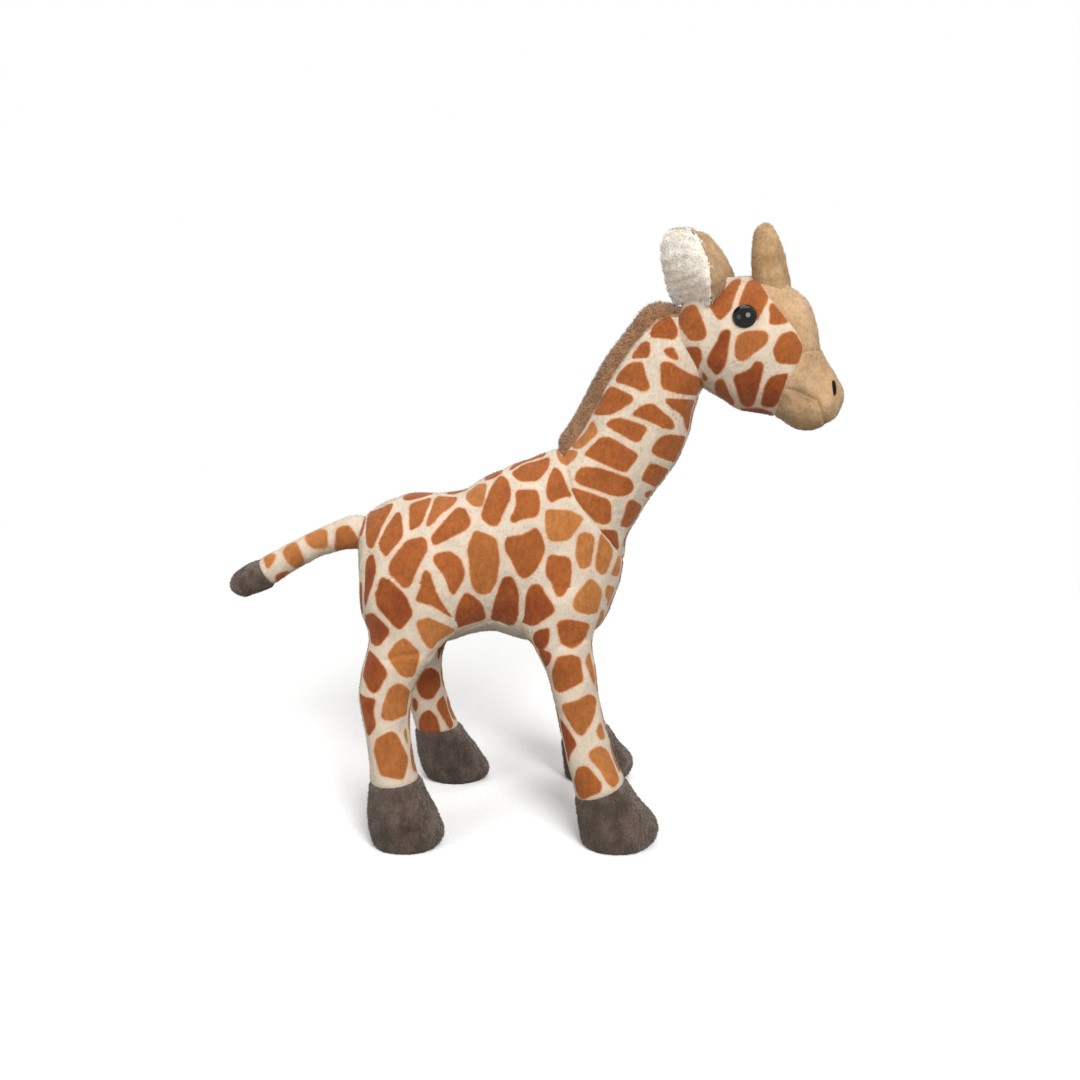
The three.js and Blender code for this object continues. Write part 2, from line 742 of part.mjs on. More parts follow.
// Tail with its dark tip
const tailPoint = inSide(rumpShare * bodyLength, bellyHeight + tailRootShare * bodyDepth);
const tailRings = tailShares.map(([back, drop, depth, heading]) => {
  const center = inSide(tailPoint.x - back * tailLength, tailPoint.z - drop * tailDrop);
  return ring(center, depth * tailDepth, depth * tailDepth, heading);
});
const tailRoot = tailPoint.clone().add(inSide(tailDepth / 2, 0));
const tailEnd = inSide(tailPoint.x - tailLength, tailPoint.z - tailDrop);
const tail = solid(stuffedForm(tailRoot, tailRings, tailEnd, smallAround));
const bodyWagged = swept(offset(torso, swingGap), tailPoint, vertical, tailWagAngle);
const tailTipSide = (gap) => {
  const seam = inSide(tailPoint.x - tailSeamShare * tailLength, tailPoint.z - tailSeamDropShare * tailDrop);
  return beyond(seam.x + gap, seam.z, tailSeamHeading);
};
const tailBody = without(tail, bodyWagged);
place(giraffe, 'tail', without(tailBody, tailTipSide(seamGap)), printPlush());
place(giraffe, 'tail_tip', tailBody.intersect(tailTipSide(0)), darkPlush());

// Legs: each turns at its hip and stands on a flat sole
const hoofRing = 7;
function leg(name, side, spec) {
  const reach = (footSpacing - hipSpacing) / 2;
  const spread = (up) => side * (hipSpacing / 2 + reach * (1 - up));
  const lean = Math.tan(radians(spec.swing));
  const hipX = spec.hipX + spec.step;
  const rings = spec.shares.map(([along, up, depth, width]) => {
    const x = hipX + along * spec.hipHeight + (1 - up) * spec.hipHeight * lean;
    return ring(at(x, spread(up), up * spec.hipHeight), depth * spec.depth, width * legWidth, 90);
  });
  const dome = hipTurns.map((turn) => {
    const rise = (spec.depth / 2) * Math.sin(radians(turn));
    const shrink = Math.cos(radians(turn));
    const center = at(hipX, side * hipSpacing / 2, spec.hipHeight + rise);
    return ring(center, spec.depth * shrink, legWidth * shrink, 90);
  });
  const top = at(hipX, side * hipSpacing / 2, spec.hipHeight + spec.depth / 2);
  const bottom = rings[rings.length - 1].center.clone();
  bottom.z -= soleCut;
  const form = stuffedForm(top, [...dome, ...rings], bottom, limbAround);
  const hip = at(hipX, side * hipSpacing / 2, spec.hipHeight);
  const bodySwung = swept(offset(torso, swingGap), hip, lateral, legSwingAngle);
  const floor = boxCutter(at(-2 * overrun, -2 * overrun, -overrun), at(2 * overrun, 2 * overrun, 0));
  const whole = without(solid(form), bodySwung, floor);
  const seamX = rings[hoofRing].center.x;
  const hoofSide = (gap) => {
    const matrix = new THREE.Matrix4().makeRotationY(-radians(spec.seamLean));
    matrix.setPosition(seamX, 0, spec.seam + gap);
    return boxCutter(at(-overrun, -2 * overrun, -overrun), at(overrun, 2 * overrun, 0), matrix);
  };
  place(giraffe, `leg_${name}`, without(whole, hoofSide(seamGap)), printPlush());
  place(giraffe, `hoof_${name}`, whole.intersect(hoofSide(0)), darkPlush());
}

const hindSpec = {
  hipX: hindHipShare * bodyLength,
  hipHeight: bellyHeight + hindHipRise,
  depth: hindLegDepth,
  shares: hindLegShares,
  seam: hindHoofSeam,
  seamLean: hindHoofSeamLean,
};
const foreSpec = {
  hipX: foreHipShare * bodyLength,
  hipHeight: bellyHeight + foreHipRise,
  depth: foreLegDepth,
  shares: foreLegShares,
  seam: foreHoofSeam,
  seamLean: foreHoofSeamLean,
};
leg('hind_right', -1, { ...hindSpec, step: 0, swing: 0 });
leg('hind_left', 1, { ...hindSpec, step: leftHindStep, swing: leftHindSwing });
leg('fore_right', -1, { ...foreSpec, step: 0, swing: 0 });
leg('fore_left', 1, { ...foreSpec, step: leftForeStep, swing: leftForeSwing });

export default giraffe;
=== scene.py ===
# Plush giraffe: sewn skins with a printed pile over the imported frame
import math

import bpy
import numpy as np
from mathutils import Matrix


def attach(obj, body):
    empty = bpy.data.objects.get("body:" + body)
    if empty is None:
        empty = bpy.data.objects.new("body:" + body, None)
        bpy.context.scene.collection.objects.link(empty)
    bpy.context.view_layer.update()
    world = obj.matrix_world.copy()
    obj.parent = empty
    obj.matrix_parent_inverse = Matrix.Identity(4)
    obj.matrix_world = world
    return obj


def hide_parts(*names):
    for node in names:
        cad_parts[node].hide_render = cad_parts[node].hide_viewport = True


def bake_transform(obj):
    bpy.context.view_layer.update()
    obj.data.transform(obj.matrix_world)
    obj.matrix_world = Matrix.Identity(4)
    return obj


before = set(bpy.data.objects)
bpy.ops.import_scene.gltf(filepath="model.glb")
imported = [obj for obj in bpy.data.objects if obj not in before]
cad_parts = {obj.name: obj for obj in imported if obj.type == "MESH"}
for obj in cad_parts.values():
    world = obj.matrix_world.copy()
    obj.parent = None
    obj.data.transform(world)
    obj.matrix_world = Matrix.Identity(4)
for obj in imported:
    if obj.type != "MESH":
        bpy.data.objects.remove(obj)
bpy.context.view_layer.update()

rng = np.random.default_rng(11)

# The photograph's camera, in millimetres, degrees and pixels of its 1080 frame
photoView = {"place": (5.9, -548.0, 268.72), "pitch": 12.5764, "focal": 1111.49, "middle": 540.0}
pixelsPerMm = 2.03  # in the toy's middle plane
bothSides = (("right", -1), ("left", 1))


def placeCamera(view):
    # Looks along +Y, tipped down by the pitch; the lens is the focal length over the frame's width
    data = bpy.data.cameras.new("photoCamera")
    data.sensor_width = 36
    data.lens = view["focal"] / (2 * view["middle"]) * data.sensor_width
    camera = bpy.data.objects.new("photoCamera", data)
    bpy.context.collection.objects.link(camera)
    camera.location = [part * 0.001 for part in view["place"]]
    camera.rotation_euler = (math.radians(90 - view["pitch"]), 0, 0)
    bpy.context.scene.camera = camera


def toPixels(points):
    # Pinhole view: the offset from the camera over its depth, times the focal length
    offset = points - np.array(photoView["place"])
    turn = math.radians(photoView["pitch"])
    depth = offset[..., 1] * math.cos(turn) - offset[..., 2] * math.sin(turn)
    rise = offset[..., 1] * math.sin(turn) + offset[..., 2] * math.cos(turn)
    across = photoView["middle"] + photoView["focal"] * offset[..., 0] / depth
    return np.stack([across, photoView["middle"] - photoView["focal"] * rise / depth], -1)


placeCamera(photoView)
print("camera placed")


# Surfaces


def smoothThrough(knots, values, places):
    # Cubic through the knots, its slope at each one taken from its neighbours
    slope = np.gradient(values, knots, axis=0)
    cell = np.clip(np.searchsorted(knots, places, side="right") - 1, 0, len(knots) - 2)
    width = (knots[cell + 1] - knots[cell])[:, None]
    s = (places - knots[cell])[:, None] / width
    start = (2 * s**3 - 3 * s**2 + 1) * values[cell] + (s**3 - 2 * s**2 + s) * width * slope[cell]
    end = (3 * s**2 - 2 * s**3) * values[cell + 1] + (s**3 - s**2) * width * slope[cell + 1]
    return start + end


# How much a step in x, y, z and depth counts as travel along a sweep
travelWeights = [1, 1, 1, 0.5]


def sweepOf(rings, startPole, endPole):
    # Stations of x, y, z, depth, width, lean; depth and width are kept squared, so both ends close round
    table = [[*startPole, 0, 0, rings[0][5]], *rings, [*endPole, 0, 0, rings[-1][5]]]
    table = np.array(table, float)
    steps = np.diff(table[:, :4] * travelWeights, axis=0)
    knots = np.concatenate([[0], np.cumsum(np.linalg.norm(steps, axis=1))])
    table[:, 3:5] **= 2
    return {"knots": knots, "table": table}


def stationsAt(sweep, places):
    # The sweep's stations, with depth and width as lengths again
    shape = smoothThrough(sweep["knots"], sweep["table"], places)
    shape[:, 3:5] = np.sqrt(np.clip(shape[:, 3:5], 0, None))
    return shape


def stations(sweep, first, last, step):
    # Even steps of travel and change of depth between two knots, given by their numbers
    fine = np.linspace(sweep["knots"][first], sweep["knots"][last], 3000)
    shape = stationsAt(sweep, fine)
    moves = np.linalg.norm(np.diff(shape[:, :4] * travelWeights, axis=0), axis=1)
    travel = np.concatenate([[0], np.cumsum(moves)])
    count = max(4, int(round(travel[-1] / step)) + 1)
    even = np.linspace(0, travel[-1], count)
    return stationsAt(sweep, np.interp(even, travel, fine))


def upOf(shape):
    # The ring's upward direction, turned back from the vertical by its lean
    lean = np.radians(shape[:, 5])
    return np.stack([-np.sin(lean), np.zeros(len(shape)), np.cos(lean)], 1)


def roundSkin(shape, columns):
    # Ellipse at each station: centre + up * depth / 2 * cos(a) + Y * width / 2 * sin(a)
    angle = np.arange(columns) * 2 * math.pi / columns
    rise = shape[:, 3, None] / 2 * np.cos(angle)
    points = shape[:, None, :3] + upOf(shape)[:, None] * rise[..., None]
    points[..., 1] += shape[:, 4, None] / 2 * np.sin(angle)
    return points


def outwardOf(points):
    # Cross product of the steps along and round the grid, turned away from each row's middle
    along = np.gradient(points, axis=0)
    around = np.roll(points, -1, 1) - np.roll(points, 1, 1)
    normal = np.cross(around, along)
    length = np.linalg.norm(normal, axis=-1, keepdims=True)
    normal = normal / np.maximum(length, 1e-9)
    away = points - points.mean(1, keepdims=True)
    if np.sum(normal * away) < 0:
        normal = -normal
    for row, inner in ((0, 1), (-1, -2)):
        if length[row].max() < 1e-6:
            axis = points[row].mean(0) - points[inner].mean(0)
            normal[row] = axis / max(np.linalg.norm(axis), 1e-9)
    return normal


def lumps(points, size):
    # Three crossed sine waves of about that length, from -1 to 1
    x, y, z = np.moveaxis(points * (2 * math.pi / size), -1, 0)
    first = np.sin(x + 1.7 * np.sin(0.6 * z + 0.4)) * np.cos(0.9 * z + 0.5 * y)
    second = np.sin(0.7 * y + 1.3 * x + 2) * np.cos(1.1 * z - 0.4 * x + 1)
    return (first + second) / 2


def smoothStep(value, low, high):
    # 0 below low, 1 above high and an S curve between
    share = np.clip((value - low) / (high - low), 0, 1)
    return share * share * (3 - 2 * share)


def bell(distance, width):
    # 1 at no distance, falling off on both sides within about two widths
    return np.exp(-((distance / width) ** 2))


def headingOf(degrees):
    # Direction in the toy's middle plane, turned up from forward
    return np.array([math.cos(math.radians(degrees)), 0, math.sin(math.radians(degrees))])


def ringsInMm(rings, origin, scales):
    # Rings of x, z, depth and width as shares, and the lean in degrees, become the lengths that sweepOf takes
    x, z, depth, width = (rings[:, :4] * scales).T
    return np.stack([origin[0] + x, 0 * x, origin[1] + z, depth, width, rings[:, 4]], 1).tolist()


def gridQuads(rows, columns, wrap=True):
    # Corner numbers of each cell of the grid
    row = np.arange(rows - 1)[:, None]
    column = np.arange(columns if wrap else columns - 1)[None]
    a = row * columns + column
    b = row * columns + (column + 1) % columns
    return np.stack([a, b, b + columns, a + columns], -1).reshape(-1, 4)


def mergePoles(points, quads):
    # A row with no size becomes one point, so its cells become triangles
    rows, columns = points.shape[:2]
    number = np.arange(rows * columns).reshape(rows, columns)
    for row in (0, rows - 1):
        if np.ptp(points[row], axis=0).max() < 1e-4:
            number[row] = number[row, 0]
    return number.ravel()[quads]


def facesOf(quads):
    # Cells with a doubled corner lose it
    doubled = quads == np.roll(quads, -1, 1)
    whole = quads[~doubled.any(1)].tolist()
    cut = quads[doubled.any(1)]
    cut = cut[(doubled[doubled.any(1)]).sum(1) == 1]
    keep = ~(cut == np.roll(cut, -1, 1))
    return whole + cut[keep].reshape(-1, 3).tolist()


def makeMesh(name, points, faces, fields=None, facing=None):
    # Points in millimetres become a mesh in metres; unused points are dropped
    used = np.unique(np.fromiter((corner for face in faces for corner in face), int))
    fresh = np.full(len(points), -1)
    fresh[used] = np.arange(len(used))
    mesh = bpy.data.meshes.new(name)
    mesh.from_pydata((points[used] * 0.001).tolist(), [], [fresh[face].tolist() for face in faces])
    mesh.validate()
    mesh.polygons.foreach_set("use_smooth", np.full(len(mesh.polygons), True))
    for key, value in (fields or {}).items():
        layer = mesh.attributes.new(key, "FLOAT", "POINT")
        layer.data.foreach_set("value", np.asarray(value)[used].astype(np.float32))
    mesh.update()
    if facing is not None:
        mesh.normals_split_custom_set_from_vertices(facing[used].tolist())
    piece = bpy.data.objects.new(name, mesh)
    bpy.context.collection.objects.link(piece)
    return piece


def outwardQuads(points, normal, wrap=True):
    # The grid's cells with closed poles, turned over if most of them face against the outward directions
    quads = mergePoles(points, gridQuads(*points.shape[:2], wrap))
    flat, out = points.reshape(-1, 3), normal.reshape(-1, 3)
    a, b, d = flat[quads[:, 0]], flat[quads[:, 1]], flat[quads[:, 3]]
    return quads[:, ::-1] if np.sum(np.cross(b - a, d - a) * out[quads[:, 0]]) < 0 else quads


def tuftsOn(points, normal, quads, fields, tufts):
    # Three-sided spikes on random spots of the cells, weighted by area, that lean along the nap.
    # They are shaded with the skin's own outward direction, turned by what raised adds to it
    count, nap = tufts["count"], np.broadcast_to(np.array(tufts["nap"], float), points.shape)
    a, b, c, d = (points[quads[:, i]] for i in range(4))
    area = np.linalg.norm(np.cross(c - a, d - b), axis=1)
    cell = rng.choice(len(quads), count, p=area / area.sum())
    u, v = rng.random((2, count, 1))
    shares = ((1 - u) * (1 - v), u * (1 - v), u * v, (1 - u) * v)

    def mix(value):
        return sum(share * value[quads[cell, i]].reshape(count, -1) for i, share in enumerate(shares))

    root, out = mix(points), mix(normal)
    out /= np.maximum(np.linalg.norm(out, axis=1, keepdims=True), 1e-9)
    lean = mix(nap) + tufts["spread"] * rng.normal(size=(count, 3))
    lean -= out * np.sum(lean * out, 1, keepdims=True)
    side = np.cross(out, lean)
    side /= np.maximum(np.linalg.norm(side, axis=1, keepdims=True), 1e-9)
    front = np.cross(side, out)
    size = tufts["length"] * rng.uniform(0.6, 1.15, (count, 1))
    tip = root + out * size * 0.8 + lean * size
    turn = rng.uniform(0, 2 * math.pi, (count, 1))
    base = []
    for step in range(3):
        angle = turn + step * 2 * math.pi / 3
        base.append(root - out * 0.15 + tufts["width"] * (side * np.cos(angle) + front * np.sin(angle)))
    verts = np.stack([*base, tip], 1).reshape(-1, 3)
    start = 4 * np.arange(count)[:, None]
    tris = np.concatenate([start + [1, 0, 3], start + [2, 1, 3], start + [0, 2, 3]])
    carried = {key: np.repeat(mix(value)[:, 0], 4) for key, value in fields.items()}
    carried["pile"] = np.tile([0.15, 0.15, 0.15, 1.0], count)
    facing = out + 0.5 * tufts["spread"] * rng.normal(size=(count, 3)) + tufts["raised"]
    facing = facing / np.linalg.norm(facing, axis=1, keepdims=True)
    return verts, tris, carried, np.repeat(facing, 4, axis=0)


def cutSkin(quads, inside, groove=0.55, proud=0.0, kept=2.4):
    # Sewn panel of a shared surface: level inside its outline, sunk outside it, with a groove on the seam.
    # The rise is proud inside, minus 0.9 mm a millimetre outside up to 1.3 mm, minus a bell curve at the seam
    sunk = np.clip(-inside * 0.9, 0, 1.3)
    rise = proud * smoothStep(inside, 0, 2) - sunk - groove * bell(inside, 0.8)
    return rise, quads[inside.reshape(-1)[quads].max(1) > -kept]


def aboveFloor(points):
    # Nothing of the toy goes under the floor
    return np.maximum(points, [-1e3, -1e3, 0])


def makeSkin(name, points, normal, quads, fields, look, tufts):
    # One mesh of the cells and of the pile that stands on them; nothing goes below the floor
    points, normal = aboveFloor(points.reshape(-1, 3)), normal.reshape(-1, 3)
    fields = {key: value.reshape(-1) for key, value in fields.items()}
    verts, tris, carried, facing = tuftsOn(points, normal, quads, fields, tufts)
    fields["pile"] = np.zeros(len(points))
    faces = facesOf(quads) + (tris + len(points)).tolist()
    facing = np.concatenate([points * 0, facing])
    points = np.concatenate([points, aboveFloor(verts)])
    fields = {key: np.concatenate([value, carried[key]]) for key, value in fields.items()}
    piece = makeMesh(name, points, faces, fields, facing)
    piece.data.materials.append(look)
    return piece


def makeShell(name, points, look):
    # A closed hard piece of one grid, without pile
    piece = makeMesh(name, points.reshape(-1, 3), facesOf(outwardQuads(points, outwardOf(points))))
    piece.data.materials.append(look)
    return piece


def declare(piece, replaced=(), ride=None, blend=None):
    if blend:
        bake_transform(piece)
    else:
        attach(piece, ride)
    if replaced:
        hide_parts(*replaced)
    return piece


# Print

# Patches of the giraffe print, given as corners in the photograph's pixels, rounded when used.
# The first number is the tone, 0 dark and 1 light. It is partly the print's own shade and partly painted
# shade and light: darker towards the rump, the belly, the backs of the legs, the far hind leg and the neck
# under the ear, and lighter on the chest and the fronts of the forelegs
bodyPrint = [
    (0.3, 402, 496, 418, 492, 434, 489, 434, 494, 418, 499, 404, 501),
    (0.3, 445, 491, 458, 485, 472, 484, 468, 490, 455, 494, 447, 494),
    (0.3, 484, 481, 489, 472, 503, 468, 503, 474, 495, 479, 488, 481),
    (0.3, 508, 470, 520, 459, 546, 450, 546, 456, 533, 459, 520, 465, 510, 471),
    (0.1, 358, 538, 363, 545, 363, 560, 361, 572, 357, 560), (0.9, 352, 518, 366, 516, 363, 537),
    (0.5, 366, 513, 395, 502, 382, 526, 374, 549, 367, 548, 364, 530),
    (0.5, 396, 511, 401, 512, 404, 537, 387, 559, 378, 545, 385, 528),
    (0.5, 409, 504, 433, 497, 421, 526, 409, 532),
    (0.7, 436, 496, 459, 496, 454, 505, 440, 516, 431, 527, 425, 526),
    (0.5, 456, 507, 465, 507, 472, 523, 467, 530, 449, 539, 433, 547, 430, 537, 446, 519),
    (0.9, 464, 496, 477, 484, 488, 483, 482, 507, 471, 506),
    (0.5, 501, 475, 509, 480, 512, 497, 504, 512, 498, 527, 489, 526, 480, 518, 484, 503, 491, 487),
    (0.7, 474, 530, 482, 532, 497, 538, 500, 560, 497, 582, 490, 594, 478, 595, 471, 586, 469, 567, 467, 548),
    (0.5, 434, 554, 449, 550, 461, 558, 466, 575, 455, 594, 450, 592, 444, 575, 433, 562),
    (0.5, 407, 540, 425, 536, 429, 549, 419, 567, 411, 588, 404, 589, 390, 570, 392, 561),
    (0.1, 369, 555, 375, 554, 379, 571, 371, 608, 367, 604, 362, 572),
    (0.1, 383, 576, 389, 576, 407, 595, 414, 613, 402, 630, 396, 628, 380, 606, 380, 592),
    (0.5, 424, 569, 430, 570, 438, 592, 449, 609, 447, 618, 430, 605, 414, 601, 419, 588),
    (0.2, 464, 592, 469, 593, 482, 602, 487, 618, 481, 620, 453, 624, 455, 607),
    (0.1, 503, 576, 513, 576, 519, 590, 519, 615, 513, 625, 490, 621, 494, 601),
    (0.1, 529, 584, 540, 581, 549, 596, 557, 611, 535, 627, 525, 620, 525, 597),
    (0.5, 510, 473, 526, 463, 551, 456, 548, 469, 538, 481, 519, 482),
    (0.5, 515, 490, 538, 489, 541, 506, 537, 518, 522, 519, 513, 524, 509, 519, 516, 507),
    (0.5, 553, 466, 560, 469, 567, 485, 573, 498, 562, 497, 551, 504, 546, 497, 546, 485),
    (0.9, 555, 450, 578, 450, 577, 457, 567, 466, 559, 462),
    (0.9, 545, 509, 570, 510, 585, 518, 576, 531, 569, 541, 549, 542, 545, 530),
    (0.5, 505, 537, 525, 534, 536, 526, 542, 535, 546, 549, 538, 568, 526, 579, 518, 576, 511, 560, 504, 550),
    (0.5, 548, 554, 571, 557, 572, 570, 567, 590, 561, 599, 556, 596, 551, 580, 544, 573),
    (0.9, 577, 535, 586, 531, 595, 536, 591, 566, 580, 570, 575, 558),
    (0.9, 579, 586, 590, 576, 601, 588, 599, 600, 592, 613, 584, 615, 571, 609, 572, 597),
    (0.9, 600, 532, 606, 538, 614, 550, 606, 574, 601, 575, 594, 568, 597, 550),
    (0.9, 618, 554, 622, 551, 625, 562, 621, 576, 610, 576, 612, 568),
    (0.9, 606, 584, 612, 586, 619, 590, 611, 607, 606, 614, 607, 601, 603, 593),
    (0.9, 600, 606, 604, 612, 601, 622, 594, 636, 589, 631, 596, 614),
]
hindPrint = [
    (0.1, 371, 615, 377, 611, 392, 631, 378, 648, 369, 642),
    (0.9, 415, 621, 427, 616, 453, 629, 438, 641, 431, 651, 422, 641),
    (0.8, 386, 656, 396, 642, 405, 637, 421, 653, 414, 678, 401, 677),
    (0.1, 368, 648, 379, 659, 389, 673, 377, 694, 369, 692, 361, 673),
    (0.8, 389, 687, 400, 682, 412, 692, 410, 713, 392, 722, 380, 719, 383, 704),
    (0.1, 358, 690, 364, 697, 377, 698, 373, 712, 377, 726, 368, 738),
    (0.7, 376, 738, 392, 730, 398, 735, 409, 760, 404, 781, 380, 776, 373, 750),
    (0.9, 403, 731, 410, 725, 414, 755, 406, 744),
]
# The far hind leg's patches are darkened partly as painted shade, where it stands behind the near leg
farHindPrint = [
    (0.1, 439, 639, 453, 639, 447, 669, 437, 660),
    (0.1, 423, 669, 433, 667, 445, 679, 433, 700, 421, 699, 415, 685),
    (0.1, 412, 697, 417, 699, 419, 706, 416, 713, 412, 706),
    (0.5, 435, 705, 447, 690, 456, 719, 451, 731, 446, 724),
    (0.1, 421, 713, 430, 709, 438, 718, 443, 742, 423, 744, 418, 726),
]
forePrint = [
    (0.5, 556, 622, 567, 618, 588, 623, 585, 642, 571, 650, 560, 643),
    (0.1, 535, 631, 550, 626, 550, 640, 545, 650, 538, 650, 533, 642),
    (0.1, 537, 648, 552, 652, 551, 662, 545, 669),
    (0.5, 557, 656, 573, 654, 581, 658, 584, 682, 560, 694, 554, 688, 551, 673),
    (0.9, 585, 660, 591, 650, 597, 668, 598, 692, 590, 677),
    (0.7, 561, 704, 575, 701, 590, 693, 598, 699, 593, 721, 583, 737, 576, 734, 563, 713),
    (0.1, 557, 714, 567, 727, 578, 745, 570, 754, 568, 770, 559, 735),
    (0.9, 600, 720, 606, 738, 601, 741, 595, 733),
    (0.9, 588, 752, 598, 745, 607, 749, 621, 779, 614, 789, 607, 784, 600, 770, 589, 759),
    (0.5, 577, 767, 587, 765, 602, 783, 602, 792, 581, 801, 572, 786),
]
neckPrint = [
    (0.9, 555, 450, 578, 450, 577, 457, 567, 466, 559, 462),
    (0.9, 593, 419, 599, 433, 580, 450, 570, 447, 584, 434),
    (0.5, 611, 385, 634, 396, 633, 402, 612, 415, 593, 416, 600, 400),
    (0.5, 614, 382, 620, 371, 630, 362, 643, 361, 646, 375, 651, 388, 643, 393, 630, 386),
    (0.5, 630, 415, 640, 406, 652, 402, 674, 421, 675, 430, 664, 429, 648, 421),
    (0.5, 604, 425, 612, 418, 624, 418, 649, 427, 639, 444, 630, 440),
    (0.5, 583, 455, 601, 436, 611, 437, 640, 455, 627, 473, 616, 470),
    (0.5, 574, 478, 580, 467, 598, 467, 631, 478, 635, 488, 629, 495, 616, 497, 577, 484),
    (0.5, 569, 488, 577, 488, 611, 500, 611, 524, 599, 525, 586, 513, 576, 500),
    (0.2, 596, 529, 618, 530, 620, 552, 606, 540),
    (0.5, 626, 502, 632, 498, 646, 509, 632, 528, 619, 527, 624, 515),
    (0.5, 643, 494, 650, 490, 658, 491, 650, 502), (0.5, 627, 532, 634, 529, 630, 545, 625, 557, 623, 545),
    (0.5, 640, 480, 650, 463, 656, 464, 671, 470, 659, 489),
    (0.5, 650, 450, 659, 437, 668, 434, 688, 436, 678, 464, 655, 456),
    (0.5, 664, 399, 672, 398, 697, 400, 692, 425, 688, 436, 682, 415, 668, 406),
    (0.5, 660, 362, 669, 361, 688, 373, 704, 379, 706, 386, 698, 396, 678, 394, 661, 389),
    # Neck patch under the ear: darkened partly as painted shadow of the head and ear
    (0.3, 650, 329, 663, 316, 668, 312, 674, 320, 679, 331, 676, 340, 650, 338),
    (0.5, 633, 353, 643, 341, 651, 342, 650, 358, 630, 359),
    (0.5, 662, 350, 672, 346, 677, 352, 679, 362, 667, 357),
]
headPrint = [
    (0.5, 677, 317, 685, 307, 695, 303, 701, 315, 708, 334, 703, 341, 689, 341, 679, 326),
    (0.2, 678, 352, 685, 347, 700, 346, 703, 357, 697, 373, 689, 369, 679, 362),
    (0.5, 704, 299, 712, 292, 724, 290, 733, 279, 743, 278, 736, 294, 731, 311, 720, 322, 714, 315),
    (0.5, 747, 281, 757, 277, 770, 297, 757, 322, 740, 315, 738, 303),
    (0.5, 768, 306, 774, 301, 783, 313, 790, 322, 781, 325, 768, 325, 770, 315),
    (0.1, 721, 330, 732, 329, 729, 347, 726, 366, 717, 377, 706, 364, 708, 355, 717, 341),
    (0.7, 739, 333, 752, 330, 768, 331, 769, 342, 758, 351, 742, 363, 734, 357, 735, 342),
    (0.5, 780, 334, 794, 330, 805, 347, 799, 365, 777, 364, 772, 351),
    (0.1, 756, 360, 765, 363, 759, 389, 753, 408, 741, 406, 732, 376, 750, 369),
    (0.1, 770, 376, 790, 372, 782, 395, 776, 408, 760, 407, 764, 386),
    (0.5, 715, 380, 724, 378, 729, 392, 736, 405, 728, 408, 714, 392),
    (0.2, 738, 408, 760, 408, 773, 412, 773, 418, 745, 414), (0.2, 701, 371, 706, 374, 709, 380, 703, 382),
]
tailPrint = [
    (0.7, 336, 527, 349, 524, 360, 541, 357, 552, 334, 551),
    (0.9, 303, 537, 320, 528, 328, 530, 328, 549, 311, 549),
    (0.9, 281, 550, 296, 540, 306, 563, 296, 570, 285, 560), (0.9, 262, 559, 273, 552, 277, 557, 268, 571),
    (0.5, 277, 573, 291, 570, 280, 582, 274, 580),
]

# Seams given in the same pixels: what lies within the first belongs to the neck, the second to the muzzle,
# the third to the tan face
neckSide = [562, 440, 562, 446, 566, 462, 569, 478, 571, 489, 576, 500, 583, 510, 591, 518, 598, 526,
            604, 534, 611, 541, 618, 550, 622, 556, 634, 574, 760, 574, 760, 200, 540, 200, 540, 440]
noseSide = [700, 352, 806, 351, 822, 349, 900, 346, 900, 500, 700, 500]
tanSide = [752, 250, 757, 277, 764, 286, 770, 296, 776, 304, 786, 316, 797, 331, 804, 344, 803, 352, 798, 366,
           793, 373, 789, 380, 783, 393, 777, 407, 772, 425, 772, 450, 900, 450, 900, 250]

# Patches for places that no side view shows, in millimetres across and above the floor:
# rump, chest and throat, shins and calves
rumpPrint = [
    (0.4, 3, 103, 12, 100, 17, 108, 13, 118, 4, 117), (0.2, 3, 122, 12, 122, 16, 131, 10, 140, 3, 137),
    (0.3, 17, 115, 25, 110, 29, 120, 26, 133, 20, 130), (0.5, 3, 155, 10, 150, 17, 153, 14, 162, 4, 163),
]
throatPrint = [
    (0.7, -10, 107, -1, 105, 2, 114, -3, 122, -12, 119), (0.8, 6, 112, 12, 110, 13, 120, 8, 124, 5, 119),
    (0.7, -12, 126, -6, 127, -4, 136, -8, 142, -13, 138), (0.9, 0, 127, 9, 131, 11, 141, 4, 147, -2, 139),
    (0.6, -12, 146, -5, 143, 0, 151, -4, 161, -11, 158), (0.8, 4, 152, 10, 148, 12, 158, 9, 165, 3, 162),
    (0.5, -8, 166, 0, 163, 3, 172, -2, 180, -9, 177), (0.5, 7, 170, 11, 170, 11, 180, 7, 184, 5, 178),
    (0.4, -11, 183, -5, 184, -3, 194, -8, 199, -11, 195), (0.5, -1, 186, 6, 189, 8, 198, 3, 204, -2, 197),
    (0.4, -9, 204, -3, 201, 0, 209, -4, 217, -9, 214), (0.4, 3, 208, 9, 206, 9, 216, 5, 221, 2, 216),
    (0.3, -7, 222, 1, 220, 3, 228, -3, 235, -8, 231), (0.3, 5, 226, 9, 225, 9, 234, 6, 239, 3, 233),
]
shinPrint = [
    (0.7, -5, 38, 2, 36, 4, 45, -1, 52, -6, 47), (0.8, -2, 57, 5, 56, 6, 66, 1, 73, -4, 67),
    (0.7, -6, 76, 1, 77, 3, 86, -2, 92, -7, 87), (0.6, -2, 96, 5, 95, 6, 104, 0, 110, -5, 104),
]
calfPrint = [
    (0.4, -3, 37, 4, 38, 6, 46, 0, 54, -4, 48), (0.5, -6, 57, 1, 56, 4, 65, -1, 71, -6, 68),
    (0.3, -3, 76, 4, 75, 6, 84, 2, 92, -4, 86), (0.4, -6, 95, 1, 95, 3, 102, -2, 109, -6, 104),
]


